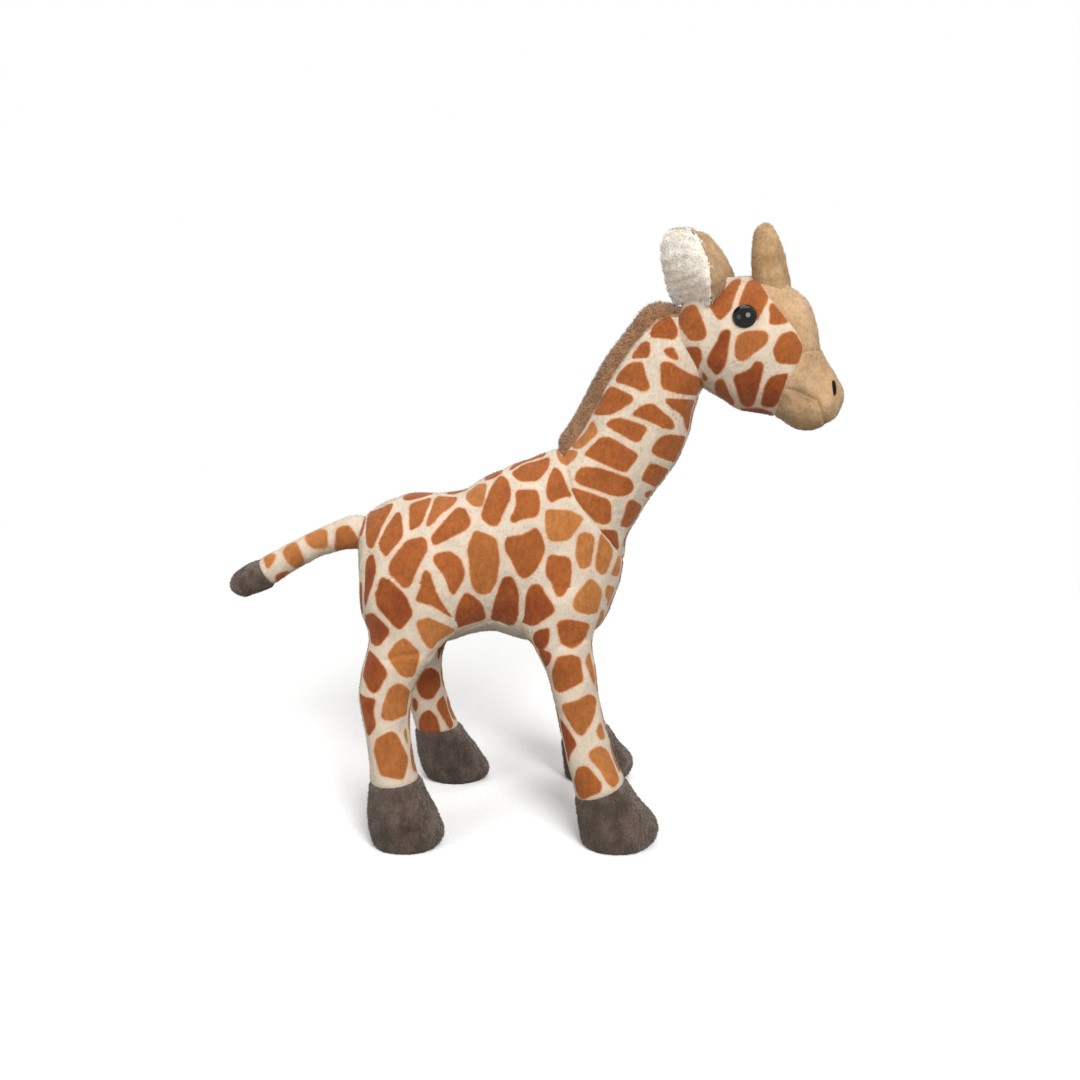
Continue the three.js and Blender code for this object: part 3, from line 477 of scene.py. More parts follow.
def roundedOutline(corners, reach=5.5):
    # Each corner becomes a quadratic curve that starts and ends a short way along its two sides
    before, after = np.roll(corners, 1, 0) - corners, np.roll(corners, -1, 0) - corners
    starts, ends = [], []
    for edge, kept in ((before, starts), (after, ends)):
        length = np.linalg.norm(edge, axis=1, keepdims=True)
        kept.append(corners + edge * np.minimum(reach / length, 0.46))
    t = np.linspace(0, 1, 6)[None, :, None]
    curve = (1 - t) ** 2 * starts[0][:, None] + 2 * t * (1 - t) * corners[:, None] + t**2 * ends[0][:, None]
    return curve.reshape(-1, 2)


def insideDistance(places, outline):
    # Distance to the nearest side of the outline, positive within it by the crossing rule
    a, b = outline, np.roll(outline, -1, 0)
    side = b - a
    rel = places[:, None] - a
    share = np.clip(np.sum(rel * side, -1) / np.maximum(np.sum(side**2, -1), 1e-9), 0, 1)
    gap = np.linalg.norm(rel - share[..., None] * side, axis=-1).min(1)
    above = a[:, 1] > places[:, 1:2]
    crosses = above != (b[:, 1] > places[:, 1:2])
    slope = side[:, 0] / np.where(side[:, 1] == 0, 1e-9, side[:, 1])
    left = places[:, :1] < a[:, 0] + (places[:, 1:2] - a[:, 1]) * slope
    inside = (crosses & left).sum(1) % 2 == 1
    return np.where(inside, gap, -gap)


def withinLine(points, line):
    # Millimetres inside a given outline, for the right-hand view of the points
    places = toPixels(points.reshape(-1, 3))
    outline = np.array(line, float).reshape(-1, 2)
    parts = [insideDistance(part, outline) for part in np.array_split(places, max(1, len(places) // 8000))]
    return (np.concatenate(parts) / pixelsPerMm).reshape(points.shape[:-1])


def printField(points, patches, places=None):
    # For each point the depth into its patch, in millimetres, negative in the channels, and the patch's tone,
    # which carries painted shade and light as well as the print's own shade
    places = toPixels(points.reshape(-1, 3)) if places is None else places.reshape(-1, 2)
    spot, toneAndShade = np.full(len(places), -4.0), np.full(len(places), 0.5)
    for shade, *corners in patches:
        outline = roundedOutline(np.array(corners, float).reshape(-1, 2))
        low, high = outline.min(0) - 8, outline.max(0) + 8
        near = np.flatnonzero(((places > low) & (places < high)).all(1))
        if len(near):
            depth = insideDistance(places[near], outline) / pixelsPerMm
            better = depth > spot[near]
            spot[near[better]] = depth[better]
            toneAndShade[near[better]] = shade
    return {"spot": spot.reshape(points.shape[:-1]), "toneAndShade": toneAndShade.reshape(points.shape[:-1])}


# Materials


def toLinear(code):
    # sRGB hex to linear, by the standard curve
    parts = [int(code[i:i + 2], 16) / 255 for i in (0, 2, 4)]
    return [part / 12.92 if part <= 0.04045 else ((part + 0.055) / 1.055) ** 2.4 for part in parts] + [1]


def addNode(tree, kind, inputs=None, output=0, **settings):
    # One node with its settings and its inputs linked from sockets or set to values; gives back one output
    fresh = tree.nodes.new(kind)
    for key, value in settings.items():
        setattr(fresh, key, value)
    for key, value in (inputs or {}).items():
        if isinstance(value, bpy.types.NodeSocket):
            tree.links.new(value, fresh.inputs[key])
        else:
            fresh.inputs[key].default_value = value
    return fresh.outputs[output] if len(fresh.outputs) else None


colourMix = {"output": 2, "data_type": "RGBA"}
fromSkin = {"output": "Fac", "attribute_type": "GEOMETRY"}


def newMaterial(name):
    # An empty material and its node tree
    look = bpy.data.materials.new(name)
    look.use_nodes = True
    look.node_tree.nodes.clear()
    return look, look.node_tree


def mottled(tree, size, low, high, detail=2.0, stretch=(1, 1, 1), seed=0.0, toLow=0.0, toHigh=1.0,
            curve="SMOOTHSTEP"):
    # Noise on object coordinates: spots of that size in millimetres, the scale to the nearest 5 per metre.
    # Its values from low to high become toLow to toHigh
    place, scale = addNode(tree, "ShaderNodeTexCoord", output="Object"), 5 * round(200 / size)
    inputs = {"Vector": place, "Scale": stretch, "Location": (seed, seed, 0)}
    moved = addNode(tree, "ShaderNodeMapping", inputs)
    noise = addNode(tree, "ShaderNodeTexNoise", {"Vector": moved, "Scale": scale, "Detail": detail})
    inputs = {"Value": noise, "From Min": low, "From Max": high, "To Min": toLow, "To Max": toHigh}
    return addNode(tree, "ShaderNodeMapRange", inputs, interpolation_type=curve)


def layered(tree, colour, layers):
    # Each layer lies over the colours before it by its factor; a pair of greys multiplies them instead
    for factor, over in layers:
        if isinstance(over, str):
            colour = addNode(tree, "ShaderNodeMix", {0: factor, 6: colour, 7: toLinear(over)}, **colourMix)
        else:
            greys = {0: factor, 6: [over[0]] * 3 + [1], 7: [over[1]] * 3 + [1]}
            shade = addNode(tree, "ShaderNodeMix", greys, **colourMix)
            inputs = {0: 1.0, 6: colour, 7: shade}
            colour = addNode(tree, "ShaderNodeMix", inputs, blend_type="MULTIPLY", **colourMix)
    return colour


def plushSurface(tree, colour, nap):
    # Cut polyester pile is matt and soft to the eye: it shows a fine grain and glows a little at grazing
    # angles. Where it lies over, it looks lighter and darker in patches; that mottling is partly painted
    # sheen in the colour
    # brushed: the mottle of pile lying different ways, painted into the colour as sheen and also used as a
    # soft bump
    brushed = mottled(tree, nap["patch"], 0.3, 0.7, 3.0, (1, 1, 0.7), 3.1)
    grain = mottled(tree, nap["grain"], 0.25, 0.75, 2.0, (1, 1, 0.45), 1.7)
    toned = layered(tree, colour, [(brushed, (nap["low"], nap["high"])), (grain, (nap["grainLow"], 1.0))])
    height = nap["height"] * 0.001
    bump = addNode(tree, "ShaderNodeBump", {"Strength": nap["bump"], "Distance": height, "Height": grain})
    soft = addNode(tree, "ShaderNodeBump",
                   {"Strength": 0.5, "Distance": 2 * height, "Height": brushed, "Normal": bump})
    shader = addNode(tree, "ShaderNodeBsdfPrincipled", {
        "Base Color": toned, "Roughness": 0.92, "Sheen Weight": nap["sheen"], "Sheen Roughness": 0.45,
        "Sheen Tint": (1.0, 0.9, 0.8, 1), "Specular IOR Level": 0.15, "IOR": 1.5, "Normal": soft})
    addNode(tree, "ShaderNodeOutputMaterial", {"Surface": shader})


def plainPlush(name, colour, deeper, nap):
    # One dyed colour with slow variation towards a deeper one, and paler tips on the pile. In the ear lining
    # the deeper colour is a painted warm shade
    look, tree = newMaterial(name)
    slow = mottled(tree, nap["drift"], 0.35, 0.7, seed=5.0)
    pile = addNode(tree, "ShaderNodeAttribute", attribute_name="pile", **fromSkin)
    # The paler tips are partly the pile's own look and partly painted light, where light falls on the tips
    # over shaded roots
    lit = addNode(tree, "ShaderNodeMapRange", {"Value": pile, "From Min": 0.2, "To Max": nap["tipShare"]},
                  interpolation_type="SMOOTHSTEP")
    plushSurface(tree, layered(tree, toLinear(colour), [(slow, deeper), (lit, nap["tip"])]), nap)
    return look


def printedPlush(name, dyeAndShade, nap):
    # Cream ground; patches where the spot field is positive, with a paler rim and a wandering edge. A patch's
    # colour goes from dark to light with its tone, which is partly painted shade and light
    look, tree = newMaterial(name)
    spot, toneAndShade = (addNode(tree, "ShaderNodeAttribute", attribute_name=key, **fromSkin)
                  for key in ("spot", "toneAndShade"))
    half = dyeAndShade["edgeWander"] / 2
    wander = mottled(tree, dyeAndShade["edgeSize"], 0.0, 1.0, toLow=-half, toHigh=half, curve="LINEAR")
    depth = addNode(tree, "ShaderNodeMath", {0: spot, 1: wander}, operation="ADD")
    shares = {"cloud": mottled(tree, dyeAndShade["cloudSize"], 0.35, 0.75, seed=9.0, toHigh=0.45),
              "streak": mottled(tree, dyeAndShade["streakSize"], 0.3, 0.7, 3.0, (1, 1, 0.4), 4.0)}
    for key, value, low, high, toLow, toHigh in (
        ("mid", toneAndShade, 0.0, 0.5, 0.0, 1.0),
        ("light", toneAndShade, 0.5, 1.0, 0.0, 1.0),
        ("rim", depth, 0.0, dyeAndShade["rimWidth"], dyeAndShade["rimShare"], 0.0),
        ("bleed", depth, -dyeAndShade["bleedWidth"], -0.3, 0.0, dyeAndShade["bleedShare"]),
        ("patch", depth, -dyeAndShade["soft"], dyeAndShade["soft"], 0.0, 1.0),
    ):
        inputs = {"Value": value, "From Min": low, "From Max": high, "To Min": toLow, "To Max": toHigh}
        shares[key] = addNode(tree, "ShaderNodeMapRange", inputs, interpolation_type="SMOOTHSTEP")
    layers = [(shares[key], dyeAndShade[key]) for key in ("mid", "light", "cloud", "streak", "rim")]
    patch = layered(tree, toLinear(dyeAndShade["dark"]), layers)
    ground = layered(tree, toLinear(dyeAndShade["ground"]), [(shares["bleed"], dyeAndShade["bleed"])])
    colour = addNode(tree, "ShaderNodeMix", {0: shares["patch"], 6: ground, 7: patch}, **colourMix)
    plushSurface(tree, colour, nap)
    return look


# Sizes in millimetres of the drift in colour, the brushed patches and the grain, and the height of the pile.
# A real fibre is 0.05 mm thick, so the grain is drawn coarser, to show in the render
shortNap = {"drift": 16.7, "patch": 7.14, "grain": 0.667, "low": 0.93, "high": 1.04, "grainLow": 0.92,
            "bump": 0.3, "height": 0.4, "sheen": 0.2, "tip": "E0D4C0", "tipShare": 0.0}
tanNap = dict(shortNap, low=0.9, high=1.06, grainLow=0.88)
deepNap = dict(tanNap, patch=4.76, low=0.85, high=1.1)
# Hooves and tail tuft: strong brushed mottling, partly painted highlights
darkNap = dict(shortNap, patch=6.67, low=0.66, high=1.36, grainLow=0.75, bump=0.7, height=0.9, sheen=0.35,
               tip="8A7C72", tipShare=0.5)
longNap = dict(shortNap, patch=3.85, low=0.8, high=1.1, grainLow=0.85, bump=0.4, height=1.0, sheen=0.5,
               tip="DFB088", tipShare=0.6)
fluffNap = dict(shortNap, patch=4.55, low=0.93, high=1.04, grainLow=0.97, bump=0.3, height=1.0, sheen=0.8,
                tip="FFFCF6", tipShare=0.6)
# The dark, mid and light patch colours are partly the print's own browns and partly painted shade and light
printDyeAndShade = {"dark": "8C4321", "mid": "A05A2D", "light": "BE7D45", "cloud": "B26731", "streak": (0.9, 1.1),
            "rim": "C5834B", "rimWidth": 1.2, "rimShare": 0.35, "ground": "DACAB5", "bleed": "E4BDA2",
            "bleedWidth": 1.5, "bleedShare": 0.75, "soft": 0.55, "edgeSize": 2.38, "edgeWander": 0.8,
            "cloudSize": 10.5, "streakSize": 1.61}
# All are polyester plush: woven back, cut pile, dyed in the piece or printed. Short pile looks matt and even,
# dark pile shows which way it was brushed, in mottling that is partly painted sheen, and long pile has pale
# tips over a deeper root, partly painted light on the tips
looks = {
    "print": printedPlush("polyesterPlushPrinted", printDyeAndShade, shortNap),
    "cream": plainPlush("polyesterPlushCream", "D8CCB8", "CBBDA6", shortNap),
    "tan": plainPlush("polyesterPlushTan", "CFAB84", "C29E76", tanNap),
    "tanDeep": plainPlush("polyesterPlushTanDeep", "C19E76", "AE8B62", deepNap),
    "tip": plainPlush("polyesterPlushTaupePale", "7E6A5F", "6C594F", darkNap),
    "dark": plainPlush("polyesterPlushTaupe", "69584F", "574840", darkNap),
    "mane": plainPlush("polyesterPileBrown", "C8946C", "B27E56", longNap),
    # Ear lining: its deeper colour is a painted warm shade, as if thrown back from the tan head, laid by the
    # slow drift
    "lining": plainPlush("polyesterPileWhite", "FFF9EF", "F3E4D0", fluffNap),
}


def eyeLook():
    # Moulded black plastic: a very dark body with a faint swirl, under a glossy face that mirrors the lights
    look, tree = newMaterial("plasticBlackGlossy")
    colour = layered(tree, toLinear("060505"), [(mottled(tree, 3.33, 0.3, 0.7), "0E0A09")])
    rough = mottled(tree, 1.11, 0.3, 0.7, seed=2.0, toLow=0.05, toHigh=0.09)
    shader = addNode(tree, "ShaderNodeBsdfPrincipled", {
        "Base Color": colour, "Roughness": rough, "IOR": 1.49, "Specular IOR Level": 0.3})
    addNode(tree, "ShaderNodeOutputMaterial", {"Surface": shader})
    return look


def threadLook():
    # Satin stitches of dark rayon: a dull black with fine lines across it, 0.75 mm apart. Real thread lies
    # at 0.3 mm, which is too fine to show
    look, tree = newMaterial("rayonThreadBlack")
    place = addNode(tree, "ShaderNodeTexCoord", output="Object")
    lines = addNode(tree, "ShaderNodeTexWave", {"Vector": place, "Scale": 420.0, "Distortion": 1.5}, "Fac",
                    wave_type="BANDS", bands_direction="Z")
    bump = addNode(tree, "ShaderNodeBump", {"Strength": 0.5, "Distance": 0.0002, "Height": lines})
    shader = addNode(tree, "ShaderNodeBsdfPrincipled", {
        "Base Color": layered(tree, toLinear("0A0808"), [(lines, "1C1715")]), "Roughness": 0.7,
        "Specular IOR Level": 0.1, "Normal": bump})
    addNode(tree, "ShaderNodeOutputMaterial", {"Surface": shader})
    return look


def washerLook():
    # Natural polypropylene, moulded: white and slightly cloudy
    look, tree = newMaterial("plasticWhiteMoulded")
    cloud = mottled(tree, 5.0, 0.3, 0.7, 3.0)
    bump = addNode(tree, "ShaderNodeBump", {"Strength": 0.2, "Distance": 0.0001, "Height": cloud})
    shader = addNode(tree, "ShaderNodeBsdfPrincipled", {
        "Base Color": layered(tree, toLinear("D9D6CF"), [(cloud, "E8E6E1")]), "Roughness": 0.42,
        "IOR": 1.49, "Normal": bump})
    addNode(tree, "ShaderNodeOutputMaterial", {"Surface": shader})
    return look


looks["eye"], looks["thread"], looks["washer"] = eyeLook(), threadLook(), washerLook()
for side in ("right", "left"):
    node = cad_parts[f"eye_washer_{side}"]
    node.data.materials.clear()
    node.data.materials.append(looks["washer"])
print("materials made")


# Torso, neck and legs

body = {"length": 135, "height": 78, "width": 64, "belly": 100, "step": 0.85, "columns": 256, "top": 165}
# From rump to shoulder: x, z, depth and width as shares of the sizes above, and the lean in degrees
bodyRings = np.array([
    [-0.621, 0.462, 0.359, 0.375, 1], [-0.597, 0.426, 0.699, 0.688, -1], [-0.542, 0.407, 0.866, 0.875, -2],
    [-0.445, 0.412, 0.964, 0.984, 0], [-0.319, 0.421, 0.970, 1.000, 2], [-0.223, 0.455, 0.937, 0.984, 3],
    [-0.134, 0.502, 1.010, 0.969, 3], [-0.031, 0.516, 1.149, 0.969, 3], [0.088, 0.528, 1.249, 0.953, 8],
    [0.168, 0.590, 1.199, 0.922, 16], [0.212, 0.712, 1.019, 0.875, 23], [0.234, 0.816, 0.845, 0.828, 30],
    [0.245, 0.897, 0.701, 0.781, 36]])
neck = {"reach": 70, "rise": 74, "depth": 50, "width": 45, "columns": 230,
        "bendLength": 36, "bendHeading": 36, "headJoint": (79.35, 0, 246.2)}
# From shoulder to head, in the same way
neckRings = np.array([
    [0.086, 0.132, 0.990, 1.044, 46], [0.189, 0.277, 0.972, 1.000, 53], [0.288, 0.429, 0.990, 0.978, 58],
    [0.364, 0.588, 0.969, 0.956, 59], [0.424, 0.743, 0.885, 0.900, 59], [0.511, 0.885, 0.821, 0.800, 56],
    [0.661, 1.030, 0.860, 0.600, 53]])
shoulder, headPoint = np.array([33.075, 0, 169.966]), np.array([103.075, 0, 243.966])
rumpPole = (-85.6, 0, 136)


def trunkSweep():
    # Body rings, then neck rings, so that one surface runs from the rump to the head
    bodySizes = [body[key] for key in ("length", "height", "height", "width")]
    neckSizes = [neck[key] for key in ("reach", "rise", "depth", "width")]
    rings = ringsInMm(bodyRings, (0, body["belly"]), bodySizes)
    rings += ringsInMm(neckRings, shoulder[[0, 2]], neckSizes)
    return sweepOf(rings, rumpPole, headPoint)


trunk = trunkSweep()
shoulderKnot, splitKnot = len(bodyRings), len(bodyRings) + 4

hind = {"hip": -57.105, "height": 110, "depth": 40, "seam": 33, "seamLean": 5, "haunch": 33, "rows": 236}
fore = {"hip": 15.404, "height": 108, "depth": 31, "seam": 30, "seamLean": 19, "haunch": 27, "rows": 226}
# From the hip down: forward shift and height as shares of the height, depth and width as shares of theirs
hind["rings"] = np.array([
    [0.000, 1.000, 1.000, 1.000], [-0.051, 0.856, 0.855, 0.963], [-0.091, 0.778, 0.750, 0.904],
    [-0.120, 0.682, 0.660, 0.852], [-0.118, 0.578, 0.585, 0.815], [-0.106, 0.455, 0.542, 0.793],
    [-0.089, 0.333, 0.580, 0.815], [-0.068, 0.227, 0.710, 0.890], [-0.045, 0.125, 0.860, 0.980],
    [-0.029, 0.059, 0.900, 0.978], [-0.029, 0.027, 0.840, 0.904], [-0.036, 0.000, 0.700, 0.756]])
fore["rings"] = np.array([
    [0.000, 1.000, 1.000, 0.963], [0.020, 0.902, 0.916, 0.933], [0.058, 0.785, 0.781, 0.859],
    [0.075, 0.694, 0.735, 0.815], [0.096, 0.597, 0.723, 0.800], [0.134, 0.435, 0.774, 0.815],
    [0.185, 0.290, 0.871, 0.874], [0.230, 0.190, 1.032, 0.948], [0.272, 0.100, 1.226, 1.000],
    [0.274, 0.046, 1.194, 0.978], [0.269, 0.023, 1.129, 0.919], [0.255, 0.000, 0.903, 0.770]])
leg = {"width": 27, "hipSide": 23, "footSide": 40, "step": 0.75, "columns": 130, "seamRing": 7,
       "bendAbove": 18, "bendBelow": 24}
# Step is the hip's shift in millimetres, swing the lean of the leg in degrees
legs = {
    "hind_right": {"kind": hind, "side": -1, "step": 0.0, "swing": 0.0},
    "hind_left": {"kind": hind, "side": 1, "step": 5.0, "swing": 7.4},
    "fore_right": {"kind": fore, "side": -1, "step": 0.0, "swing": 0.0},
    "fore_left": {"kind": fore, "side": 1, "step": 0.0, "swing": -3.6},
}


def legSweep(spec):
    # A dome over the hip, then the rings down to the sole
    kind, side = spec["kind"], spec["side"]
    hipX, height = kind["hip"] + spec["step"], kind["height"]
    rings = []
    for turn in (66, 46, 24):
        shrink = math.cos(math.radians(turn))
        top = height + kind["haunch"] * math.sin(math.radians(turn))
        rings.append([hipX, side * leg["hipSide"], top, kind["depth"] * shrink, leg["width"] * shrink, 90])
    for along, up, depth, width in kind["rings"]:
        x = hipX + along * height + (1 - up) * height * math.tan(math.radians(spec["swing"]))
        y = side * (leg["hipSide"] + (leg["footSide"] - leg["hipSide"]) * (1 - up))
        rings.append([x, y, up * height, depth * kind["depth"], width * leg["width"], 90])
    top = (hipX, side * leg["hipSide"], height + kind["haunch"])
    return sweepOf(rings, top, (rings[-1][0], rings[-1][1], 0)), rings[3 + leg["seamRing"]][0]


# No form is rounded into another below the first height; between the other two the rounding grows
# and the leg's own print gives way to the body's
filletFloor, hipBand = 70, (92, 112)


def gapTo(points, others):
    # Distance to the nearest of the other points, from |p|^2 + |q|^2 - 2 p.q
    gaps = []
    for part in np.array_split(points, max(1, len(points) // 3000)):
        square = np.sum(part**2, 1)[:, None] + np.sum(others**2, 1)[None] - 2 * part @ others.T
        gaps.append(np.sqrt(np.maximum(square.min(1), 0)))
    return np.concatenate(gaps)


def filletTo(points, others, low=6.0, high=17.0):
    # Lift that rounds the crossing of two forms: (1 - distance / reach) squared, times a quarter of the reach
    flat = points.reshape(-1, 3)
    reach = low + (high - low) * smoothStep(flat[:, 2], *hipBand)
    boxed = (flat > others.min(0) - high) & (flat < others.max(0) + high) & (flat[:, 2:] > filletFloor)
    near = np.flatnonzero(boxed.all(1))
    lift = np.zeros(len(flat))
    if len(near):
        share = np.clip(1 - gapTo(flat[near], others) / reach[near], 0, 1)
        lift[near] = reach[near] / 4 * share**2
    return lift.reshape(points.shape[:-1])


def mirrored(points):
    # The same place on the right-hand side
    return points * [1, 0, 1] - np.abs(points) * [0, 1, 0]


def creases(points, lines):
    # Pinched folds along listed pixel lines: depth times a bell curve of the distance
    places = toPixels(points.reshape(-1, 3))
    sunk = np.zeros(len(places))
    for depth, reach, *corners in lines:
        line = np.array(corners, float).reshape(-1, 2)
        for a, b in zip(line[:-1], line[1:]):
            share = np.clip(np.sum((places - a) * (b - a), 1) / np.sum((b - a) ** 2), 0, 1)
            gap = np.linalg.norm(places - a - share[:, None] * (b - a), axis=1)
            sunk = np.maximum(sunk, depth * bell(gap, reach))
    return sunk.reshape(points.shape[:-1])


def wrapPrint(points, fields, patches, across, weight, drop=14):
    # Lets a print laid from the front or back take over by weight, where the side print would smear:
    # the depths of the print that gives way drop by up to 14 mm
    laid = [(shade, *(pixelsPerMm * corner for corner in corners)) for shade, *corners in patches]
    other = printField(points, laid, np.stack([across, points[..., 2]], -1) * pixelsPerMm)
    own, side = other["spot"] - drop * (1 - weight), fields["spot"] - drop * weight
    return {"spot": np.maximum(own, side), "toneAndShade": np.where(own > side, other["toneAndShade"], fields["toneAndShade"])}


def crisp(normal, fields, least=0.3, limit=9):
    # Depths measured in the side view grow where the skin turns away, by the cosine to the line of sight
    tilt = math.radians(photoView["pitch"])
    turned = np.abs(np.abs(normal[..., 1]) * math.cos(tilt) + normal[..., 2] * math.sin(tilt))
    return dict(fields, spot=np.clip(fields["spot"] / np.maximum(turned, least), -limit, limit))


def endWeight(normal, ahead, low=0.3, high=0.48):
    # 1 where the skin faces forward (ahead 1) or backward (ahead -1), 0 on the sides
    endOn = 1 - smoothStep(np.abs(normal[..., 1]), low, high)
    return endOn * smoothStep(ahead * normal[..., 0], 0.05, 0.35)


# Depth and reach in millimetres, then the fold's line in pixels
hipFolds = [(0.9, 3.0, 385, 661, 400, 656, 418, 655), (0.8, 2.6, 430, 657, 438, 650),
            (1.0, 2.6, 560, 647, 572, 645, 586, 640)]
# Length and foot of a tuft in millimetres, the way it lies and how far it strays from that
bodyTufts = {"length": 0.75, "width": 0.17, "nap": (-0.5, 0, -0.8), "spread": 0.35, "raised": (0, 0, 0)}
belly = {"from": -59.6, "to": 10.4, "ends": 4, "half": 21.5, "below": 14}
rumpTurn = (0.62, 0.78)  # how far the skin faces back where the rump's own print takes over


def stuffing(points):
    # Uneven filling that shows through the skin
    return 0.5 * lumps(points, 46) + 0.25 * lumps(points + 31, 19)


def buildTorso(legPoints):
    # The body skin with rounded crossings to the legs, and the belly panel sewn into it
    shape = stations(trunk, 0, shoulderKnot + 1, body["step"])
    points = roundSkin(shape, body["columns"])
    normal = outwardOf(points)
    lift = stuffing(points)
    for other in legPoints:
        lift += filletTo(points, other)
    right = mirrored(points)
    lift -= creases(right, hipFolds)
    seamed, quads = cutSkin(outwardQuads(points, normal), -withinLine(right, neckSide), groove=0.8)
    lift += seamed * (1 + 0.25 * lumps(points, 7))
    fields = printField(right, bodyPrint + hindPrint + forePrint)
    fields = wrapPrint(points, crisp(normal, fields), throatPrint, points[..., 1], endWeight(normal, 1))
    rear = smoothStep(-normal[..., 0], *rumpTurn)
    fields = wrapPrint(points, fields, rumpPrint, np.abs(points[..., 1]), rear)
    points = points + normal * lift[..., None]
    piece = makeSkin("skinBody", points, normal, quads, fields, looks["print"], dict(bodyTufts, count=22000))
    declare(piece, ["body_skin", "body_filling"], ride="body")

    # The belly panel is the same surface, proud inside its outline and sunk outside it
    middle, half = (belly["to"] + belly["from"]) / 2, (belly["to"] - belly["from"]) / 2 + belly["ends"]
    taper = np.clip(1 - ((points[..., 0] - middle) / half) ** 2, 0, 1) ** 0.4
    inside = np.minimum(belly["half"] * taper - np.abs(points[..., 1]),
                        shape[:, None, 2] - belly["below"] - points[..., 2])
    rise, kept = cutSkin(quads, inside, groove=0.5, proud=0.35, kept=2.2)
    panel = points + normal * rise[..., None]
    piece = makeSkin("panelBelly", panel, normal, kept, {}, looks["cream"], dict(bodyTufts, count=2500))
    declare(piece, ["belly_panel"], ride="body")


def buildNeck():
    # Two skins of one surface, split partway up the neck
    lowEnd = shoulder + neck["bendLength"] * headingOf(neck["bendHeading"])
    split = stations(trunk, shoulderKnot, splitKnot, body["step"])[-1, :3]
    top = np.array(neck["headJoint"])
    bends = [
        {"name": "skinNeckLower", "knots": (shoulderKnot - 4, splitKnot), "from": "body", "to": "neck",
         "start": shoulder * 0.001, "end": lowEnd * 0.001},
        {"name": "skinNeckUpper", "knots": (splitKnot, len(trunk["knots"]) - 1), "from": "neck", "to": "head",
         "start": (split + 0.06 * (top - split)) * 0.001, "end": top * 0.001},
    ]
    for bend in bends:
        shape = stations(trunk, *bend["knots"], body["step"])
        points = roundSkin(shape, neck["columns"])
        normal = outwardOf(points)
        lift = stuffing(points)
        quads = outwardQuads(points, normal)
        if bend["from"] == "body":
            seamed, quads = cutSkin(quads, withinLine(mirrored(points), neckSide), groove=0.8)
            lift += seamed * (1 + 0.25 * lumps(points, 7))
        fields = printField(mirrored(points), neckPrint)
        fields = wrapPrint(points, crisp(normal, fields), throatPrint, points[..., 1], endWeight(normal, 1))
        points = points + normal * lift[..., None]
        tufts = dict(bodyTufts, count=9000)
        piece = makeSkin(bend["name"], points, normal, quads, fields, looks["print"], tufts)
        declare(piece, ["neck_skin", "neck_filling"], blend=bend)
    return bends


mane = {"height": 4.6, "width": 12.5, "reach": 11.0, "heading": 31, "sunk": 0.3, "hem": 1.2}
maneTufts = dict(bodyTufts, count=6500, length=2.4, width=0.3, nap=(-0.25, 0, -0.3))


def buildMane(bends):
    # A ridge on the neck's crest: height * sqrt(1 - s * s) over its width, under long pile
    for bend, name in zip(bends, ("maneLower", "maneUpper")):
        first, last = max(bend["knots"][0], shoulderKnot), bend["knots"][1]
        shape = stations(trunk, first, last, body["step"])
        if bend["from"] == "neck":
            more = shape[-1:].repeat(int(mane["reach"] / body["step"]), 0)
            ahead = np.arange(1, len(more) + 1)[:, None] * body["step"]
            more[:, :3] += ahead * headingOf(mane["heading"])
            shape = np.concatenate([shape, more])
        s = np.linspace(-1.12, 1.12, 27)
        up, crest = upOf(shape), shape[:, 3, None] / 2
        travel = np.arange(len(shape)) * body["step"]
        start = smoothStep(travel, -3, 9) if bend["from"] == "body" else smoothStep(travel[::-1], -1, 6)
        y = s * mane["width"] / 2
        sag = crest * np.sqrt(np.clip(1 - (2 * y / np.maximum(shape[:, 4, None], 1)) ** 2, 0, 1))
        rise = mane["height"] * start[:, None] * np.sqrt(np.clip(1 - s**2, 0, 1))
        rise -= mane["hem"] * (np.abs(s) > 1.0)
        points = shape[:, None, :3] + up[:, None] * (sag + rise - mane["sunk"])[..., None]
        points[..., 1] += y
        along, across = np.gradient(points, axis=0), np.gradient(points, axis=1)
        normal = np.cross(across, along)
        normal /= np.maximum(np.linalg.norm(normal, axis=-1, keepdims=True), 1e-9)
        if np.sum(normal * up[:, None]) < 0:
            normal = -normal
        quads = outwardQuads(points, normal, wrap=False)
        piece = makeSkin(name, points, normal, quads, {}, looks["mane"], maneTufts)
        declare(piece, ["mane"], blend=bend)


